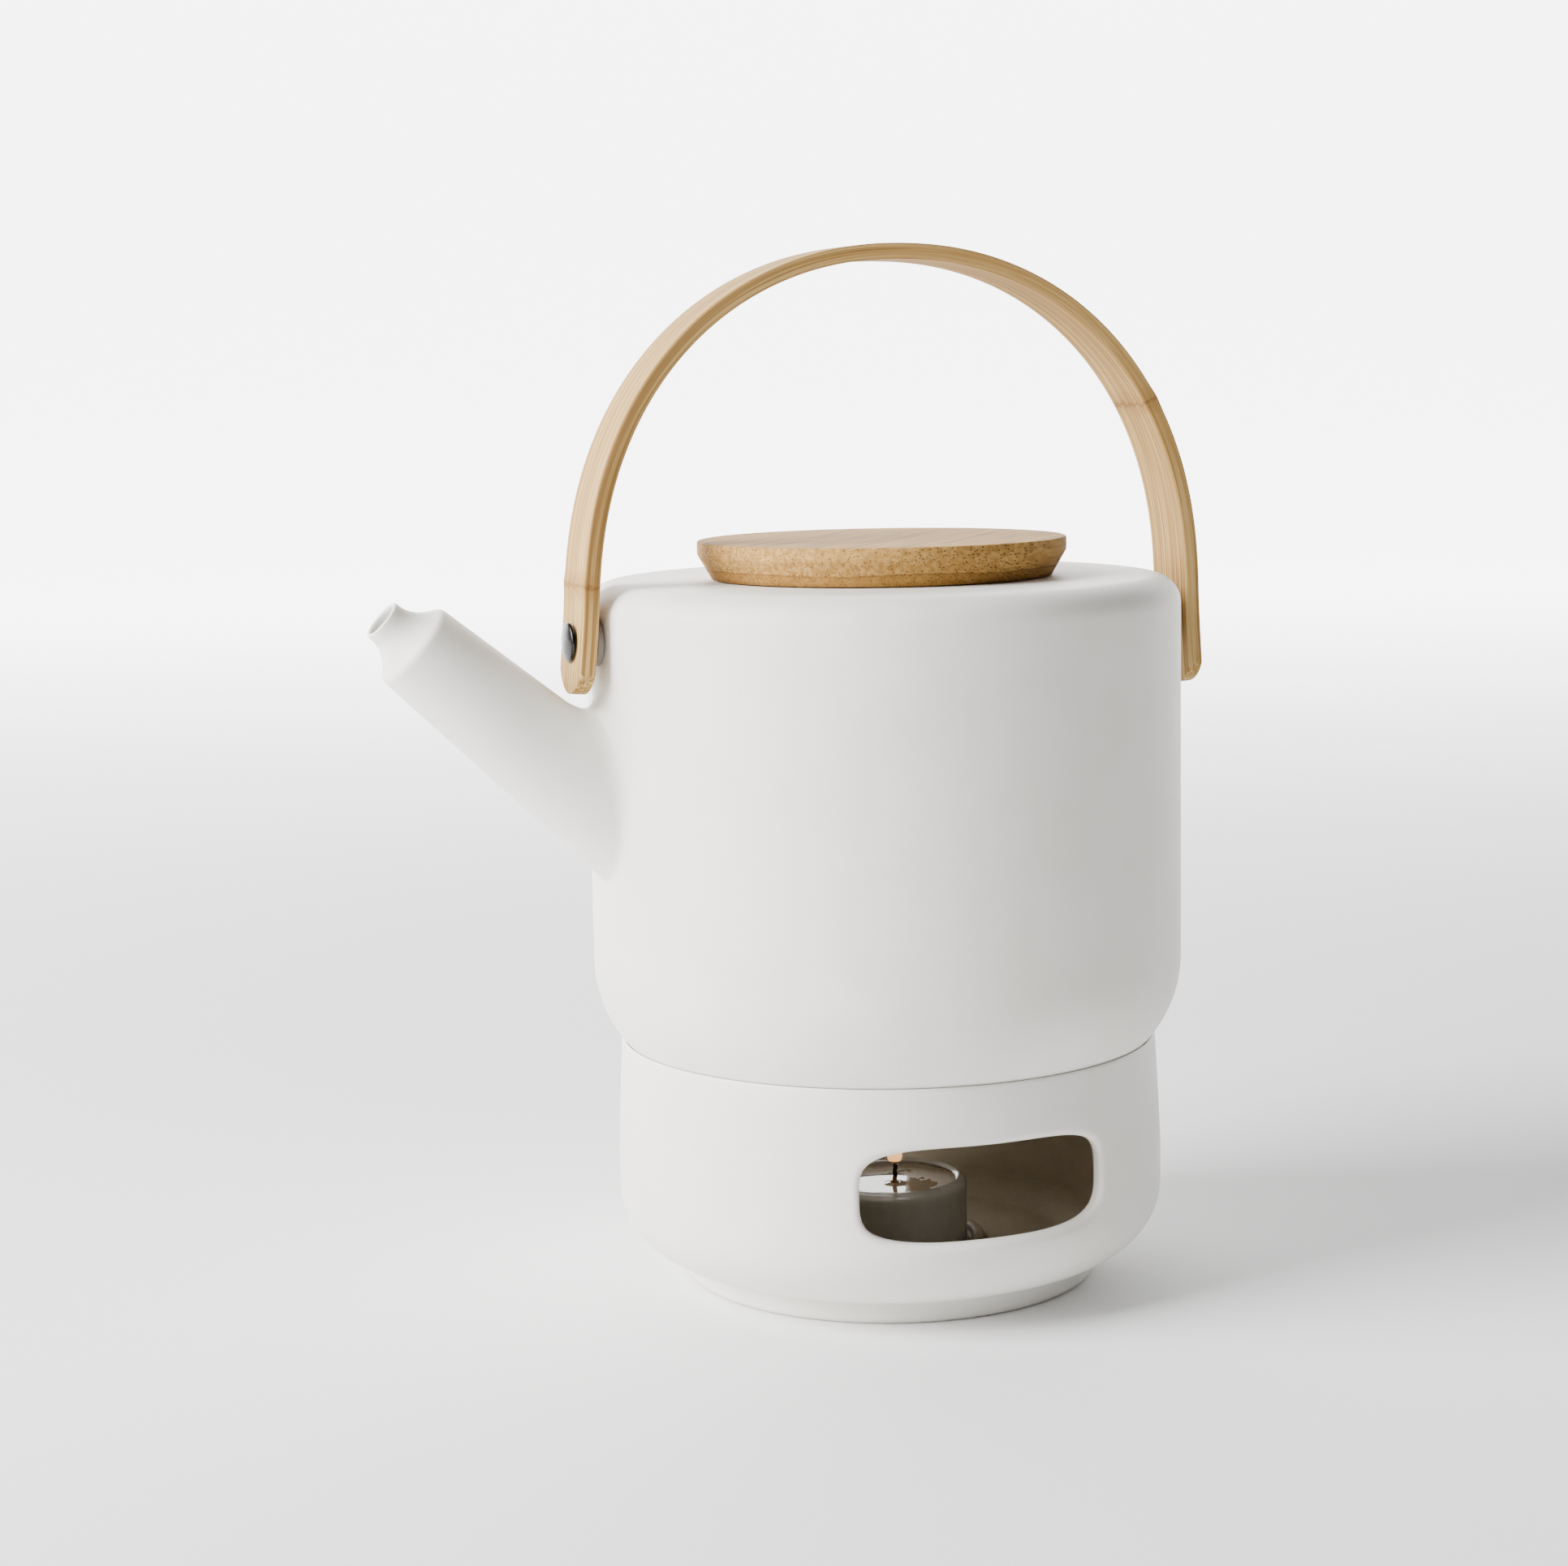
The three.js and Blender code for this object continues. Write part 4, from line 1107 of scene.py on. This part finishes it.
def add_pivots(dark_steel, steel, shade_greyed_rubber):
    """Fine copies of the screw, spacer, seal, washer and nut on each side."""
    for side, suffix in ((-1, "left"), (1, "right")):
        def onto_pivot(points, side=side):
            x, y, z = points[..., 0], points[..., 1], points[..., 2]
            return np.stack([side * z, y, PIVOT_Z - side * x], axis=-1)

        def span(node):
            low, high = box_mm(f"{node}_{suffix}")
            ends = sorted((abs(low[0]), abs(high[0])))
            return ends[0], ends[1], (high[1] - low[1]) / 2

        def add(node, profile, slot, material):
            name = f"{node}_{suffix}"
            turned(f"fine_{name}", profile, 48, "pot", [name], slot, material, move=onto_pivot, crease=50)

        tip, head_top, head_radius = span("handle_screw")
        head_base = head_top - HEAD_HEIGHT
        dome_start = (head_radius - 0.4, head_base + 0.62)
        shank = [(0, tip), (SHANK_RADIUS, tip), (SHANK_RADIUS, head_base), (head_radius, head_base)]
        screw = softened(shank, 0.2)[:-1]
        screw += bend((head_radius, head_base), (head_radius, head_base + 0.5), dome_start, 5)
        screw += bend(dome_start, (2.2, head_top), (0, head_top), 10)[1:]
        add("handle_screw", screw, "screw_steel", dark_steel)

        for node, slot, material in (
            ("handle_spacer", "silicone", shade_greyed_rubber),
            ("inner_seal", "silicone", shade_greyed_rubber),
            ("inner_washer", "steel", steel),
        ):
            near, far, outer = span(node)
            corners = [(INNER_BORE, near), (outer, near), (outer, far), (INNER_BORE, far)]
            add(node, softened(corners, 0.2, closed=True), slot, material)

        near, far, outer = span("cap_nut")
        nut = bend((0, near), (outer, near), (outer, near + 2.2), 10)
        hollow = [
            (outer, near + 2.2), (outer, far), (INNER_BORE, far), (INNER_BORE, near + 1.5), (0, near + 1.5),
        ]
        nut += softened(hollow, 0.2)[1:]
        add("cap_nut", nut, "steel", steel)


# ------------------------------------------------------------------ lid

def add_lid(wood, shade_greyed_rubber):
    bottom = LID_LOW[2]
    corners = [
        (0, bottom), (PLUG_RADIUS, bottom), (PLUG_RADIUS, bottom + PLUG_LIP),
        (GROOVE_RADIUS, bottom + PLUG_LIP), (GROOVE_RADIUS, LID_UNDERSIDE),
        (LID_UNDERSIDE_RADIUS, LID_UNDERSIDE),
    ]
    profile = softened(corners, 0.3)[:-1]
    side = [
        (LID_UNDERSIDE_RADIUS, LID_UNDERSIDE), (LID_RADIUS, LID_TOP - LID_SIDE), (LID_RADIUS, LID_TOP),
        (0, LID_TOP),
    ]
    profile += softened(side, 0.55, steps=5, step=1.5)
    turned("lid", profile, 256, "lid", ["lid_disc"], "bamboo_lid", wood, crease=60)

    low, high = box_mm("lid_seal")
    inner, outer = GROOVE_RADIUS + 0.3, high[0]
    ribs = 3
    pitch = (high[2] - low[2]) / ribs
    edge = [(inner, low[2])]
    for i in range(ribs):
        base = low[2] + pitch * i
        edge += [(outer - 0.7, base), (outer, base + pitch * 0.35), (outer, base + pitch * 0.65)]
    edge += [(outer - 0.7, high[2]), (inner, high[2])]
    turned(
        "fine_lid_seal", softened(edge, 0.15, closed=True), 192, "lid", ["lid_seal"], "silicone", shade_greyed_rubber,
        crease=50,
    )


# ------------------------------------------------------------------ infuser

BASKET_COLUMNS = 72
BASKET_PITCH = 2.7
BASKET_WALL = 0.5
BASKET_PLAIN_TOP = 5


def basket_path():
    """The basket's outer line from its top edge down, round its corner and in to its middle."""
    low, high = box_mm("infuser_basket")
    floor_radius = 31
    path = line((high[0], high[2]), (floor_radius, low[2] + 4), 0.5)
    floor_edge = (floor_radius - 4.4, low[2])
    path += bend((floor_radius, low[2] + 4), (floor_radius - 0.4, low[2]), floor_edge, 8)[:-1]
    path += line(floor_edge, (0.5, low[2]), 0.5)
    path = np.array(path)
    return path, distances(path)


def add_basket(steel):
    """Perforated sheet: every cell is a square of sheet round an eight-sided hole."""
    path, run = basket_path()
    step = np.gradient(path, axis=0)
    normal = np.stack([-step[:, 1], step[:, 0]], axis=-1)
    normal /= -np.linalg.norm(normal, axis=1)[:, None]
    rows = int(run[-1] // BASKET_PITCH)

    def on_sheet(column, row, inside):
        at = min(row * BASKET_PITCH, run[-1])
        r = np.interp(at, run, path[:, 0])
        z = np.interp(at, run, path[:, 1])
        if inside:
            r += np.interp(at, run, normal[:, 0]) * BASKET_WALL
            z += np.interp(at, run, normal[:, 1]) * BASKET_WALL
        angle = 2 * math.pi * column / BASKET_COLUMNS
        return (r * math.cos(angle), r * math.sin(angle), z)

    points, faces = [], []

    def add_cell(column, row, holed):
        frame_uv = [(0, 0), (0.5, 0), (1, 0), (1, 0.5), (1, 1), (0.5, 1), (0, 1), (0, 0.5)]
        start = len(points)
        for inside in (False, True):
            points.extend(on_sheet(column + u, row + v, inside) for u, v in frame_uv)
        if not holed:
            faces.append(tuple(start + i for i in range(8)))
            faces.append(tuple(start + 15 - i for i in range(8)))
            return
        hole = len(points)
        for inside in (False, True):
            for u, v in frame_uv:
                length = math.hypot(u - 0.5, v - 0.5)
                points.append(on_sheet(
                    column + 0.5 + (u - 0.5) / length * 0.27, row + 0.5 + (v - 0.5) / length * 0.27, inside,
                ))
        for i in range(8):
            j = (i + 1) % 8
            faces.append((start + i, start + j, hole + j, hole + i))
            faces.append((start + 8 + j, start + 8 + i, hole + 8 + i, hole + 8 + j))
            faces.append((hole + i, hole + j, hole + 8 + j, hole + 8 + i))

    for row in range(rows):
        at = (row + 0.5) * BASKET_PITCH
        radius = np.interp(at, run, path[:, 0])
        holed = at > BASKET_PLAIN_TOP and radius > 12
        for column in range(BASKET_COLUMNS):
            add_cell(column, row, holed)
    top = len(points)
    for column in range(BASKET_COLUMNS):
        for u in (0, 0.5):
            points.extend((on_sheet(column + u, 0, False), on_sheet(column + u, 0, True)))
    count = 2 * BASKET_COLUMNS
    for i in range(count):
        a, b = top + 2 * i, top + 2 * ((i + 1) % count)
        faces.append((b, a, a + 1, b + 1))
    end = len(points)
    for column in range(BASKET_COLUMNS):
        for u in (0, 0.5):
            points.extend((on_sheet(column + u, rows, False), on_sheet(column + u, rows, True)))
    faces.append(tuple(end + 2 * i for i in range(count)))
    faces.append(tuple(end + 2 * i + 1 for i in range(count - 1, -1, -1)))
    basket = finish_mesh(
        "basket", points, faces, "infuser", ["infuser_basket"], "steel", steel, crease=50,
    )
    work = bmesh.new()
    work.from_mesh(basket.data)
    bmesh.ops.remove_doubles(work, verts=work.verts, dist=2e-6)
    bmesh.ops.recalc_face_normals(work, faces=work.faces)
    work.to_mesh(basket.data)
    work.free()


def add_infuser(steel):
    low, high = box_mm("infuser_rim")
    inner, outer = 33, high[0]
    rolled = [(inner, low[2]), (outer, low[2]), (outer, high[2]), (inner, high[2])]
    turned(
        "fine_infuser_rim", softened(rolled, 0.45, steps=5, closed=True), 160, "infuser", ["infuser_rim"],
        "steel", steel, crease=60,
    )
    add_basket(steel)


# ------------------------------------------------------------------ tealight

def quarter(start, end, steps=8):
    """A quarter ellipse that leaves start along z and reaches end along r."""
    angles = np.linspace(0, math.pi / 2, steps + 1)
    return [
        (end[0] + (start[0] - end[0]) * math.cos(a), start[1] + (end[1] - start[1]) * math.sin(a))
        for a in angles
    ]


def add_tealight(cup_skin, paraffin, cotton, steel, glow):
    low, high = box_mm("tealight_cup")
    outer, wall = high[0], CUP_WALL
    inner = outer - wall
    shoulder = high[2] - CUP_SHOULDER
    cup = softened([(0, low[2]), (outer, low[2]), (outer, low[2] + 3)], 1.2, steps=5)
    cup += quarter((outer, shoulder), (CUP_RIM_RADIUS, high[2]))
    cup += quarter((inner, shoulder), (CUP_RIM_RADIUS - 0.8, high[2] - wall))[::-1]
    cup += softened([(inner, low[2] + 3), (inner, low[2] + wall), (0, low[2] + wall)], 0.8, steps=4)
    turned("cup", cup, 128, "tealight", ["tealight_cup"], "clear_cup", cup_skin, crease=60)

    wick_low, wick_high = box_mm("tealight_wick")
    wick_x = (wick_low[0] + wick_high[0]) / 2

    def beside(points):
        return points + [wick_x, 0, 0]

    def bored(points):
        """Moves the wall of the wax's bore over to the wick, and leaves its outside in place."""
        reach = np.hypot(points[..., 0], points[..., 1])
        share = np.clip((radius - 1 - reach) / (radius - 8), 0, 1)
        return points + share[..., None] * [wick_x, 0, 0]

    wax_low, wax_high = box_mm("tealight_wax")
    radius = wax_high[0]
    dish = [
        (6.3, wax_low[2]), (radius, wax_low[2]), (radius, shoulder), (radius - 0.3, wax_high[2]),
        (radius - 1.0, wax_high[2] - 0.45), (radius - 2.5, wax_high[2] - 0.6), (3.0, wax_high[2] - 0.6),
        (WICK_BORE, wax_high[2] - 0.2), (WICK_BORE, wax_low[2] + 4.3), (2.2, wax_low[2] + 4.3),
        (2.2, wax_low[2] + 0.8),
        (6.3, wax_low[2] + 0.8),
    ]
    turned(
        "wax", softened(dish, 0.25, closed=True, step=1.5), 128, "tealight", ["tealight_wax"], "wax",
        paraffin, move=bored, crease=70,
    )

    height = wick_high[2] - wick_low[2]
    half = (wick_high[0] - wick_low[0]) / 2
    braid_radius = half * 0.8
    profile = softened([
        (0, wick_low[2]), (braid_radius, wick_low[2]), (braid_radius, wick_high[2]), (0, wick_high[2]),
    ], 0.3)

    def braid(points):
        share = np.clip((points[..., 2] - wick_low[2]) / height, 0, 1)
        lean = np.clip(share - 0.72, 0, 1) * 1.6
        ridge = 1 + 0.16 * np.sin(3 * np.arctan2(points[..., 1], points[..., 0]) + points[..., 2] * 3.2)
        x = points[..., 0] * ridge * 0.85 + lean * 0.3
        return beside(np.stack([x, points[..., 1] * ridge * 0.85, points[..., 2]], -1))

    turned(
        "wick", divided(profile, 0.3), 24, "tealight", ["tealight_wick"], "wick", cotton,
        move=braid, crease=80,
    )

    base_low, base_high = box_mm("wick_sustainer")
    plate_top = base_low[2] + 0.5
    tab = [
        (WICK_BORE, base_low[2]), (6, base_low[2]), (6, plate_top), (2.2, plate_top),
        (1.9, plate_top + 0.4), (1.9, base_high[2]), (WICK_BORE, base_high[2]),
    ]
    turned(
        "sustainer", softened(tab, 0.15, closed=True), 48, "tealight", ["wick_sustainer"], "steel", steel,
        move=beside, crease=50,
    )

    flame_bottom = wick_high[2] + 0.3
    flame_height = FLAME_TOP - flame_bottom
    body = [
        np.array([FLAME_RADIUS * math.sin(math.pi * t ** 0.42) ** 0.6, flame_bottom + flame_height * t])
        for t in np.linspace(0, 1, 28)
    ]
    body[0][0] = body[-1][0] = 0
    turned("flame", body, 32, "tealight", [], "wick", glow, move=beside, crease=80)


# ------------------------------------------------------------------ stage and light

def add_stage():
    """A pale floor that curves up into a backdrop."""
    flat_end, curve = 2.2, 1.2
    rows = [(y, 0.0) for y in np.linspace(-2.5, flat_end, 12)]
    rows += [
        (flat_end + curve * math.sin(a), curve - curve * math.cos(a))
        for a in np.linspace(0, math.pi / 2, 14)[1:]
    ]
    rows += [(flat_end + curve, z) for z in (2.0, 3.2)]
    cos, sin = math.cos(-CAMERA_HEADING), math.sin(-CAMERA_HEADING)
    points, faces = [], []
    for y, z in rows:
        for x in (-4.0, 4.0):
            points.append((x * cos - y * sin, x * sin + y * cos, z))
    for i in range(len(rows) - 1):
        faces.append((2 * i, 2 * i + 1, 2 * i + 3, 2 * i + 2))
    mesh = bpy.data.meshes.new("floor")
    mesh.from_pydata(points, [], faces)
    mesh.shade_smooth()
    floor = bpy.data.objects.new("floor", mesh)
    mesh.materials.append(floor_paper())
    bpy.context.scene.collection.objects.link(floor)


def add_light(name, bearing, elevation, distance, size, power, colour=(1, 1, 1)):
    """A soft square light aimed at the pot. bearing is measured from the camera's side, + to the right."""
    data = bpy.data.lights.new(name, "AREA")
    data.energy = power
    data.size = size
    data.color = colour
    light = bpy.data.objects.new(name, data)
    around = math.radians(bearing) - CAMERA_BEARING - math.pi / 2
    lift = math.radians(elevation)
    outward = np.array([math.cos(around) * math.cos(lift), math.sin(around) * math.cos(lift), math.sin(lift)])
    aim = np.array([0, 0, 0.12])
    side = np.cross([0, 0, 1], outward)
    side /= np.linalg.norm(side)
    up = np.cross(outward, side)
    light.matrix_world = placed(side, up, outward, aim + outward * distance)
    bpy.context.scene.collection.objects.link(light)


def add_lights():
    world = bpy.data.worlds.new("studio")
    world.use_nodes = True
    background = world.node_tree.nodes["Background"]
    background.inputs["Color"].default_value = (1, 1, 1, 1)
    background.inputs["Strength"].default_value = 0.06
    bpy.context.scene.world = world
    add_light("key", -68, 30, 1.7, 1.1, 104)
    add_light("front", -22, 18, 2.0, 1.4, 7)


# ------------------------------------------------------------------ the whole

def main():
    add_camera()
    add_stage()
    add_lights()
    glaze = stoneware("stoneware")
    warmer_glaze = stoneware("warmer_stoneware", bare_inside=True)
    steel = metal("satin_steel", srgb(196, 197, 199), 0.24)
    dark_steel = metal("dark_steel", srgb(58, 57, 56), 0.24)
    shade_greyed_rubber = silicone()
    add_warmer(warmer_glaze)
    add_pot(glaze)
    add_handle(handle_bamboo())
    add_pivots(dark_steel, steel, shade_greyed_rubber)
    add_lid(lid_bamboo(), shade_greyed_rubber)
    add_infuser(steel)
    add_tealight(clear_cup(), wax(), wick_cotton(), steel, flame_glow())


main()
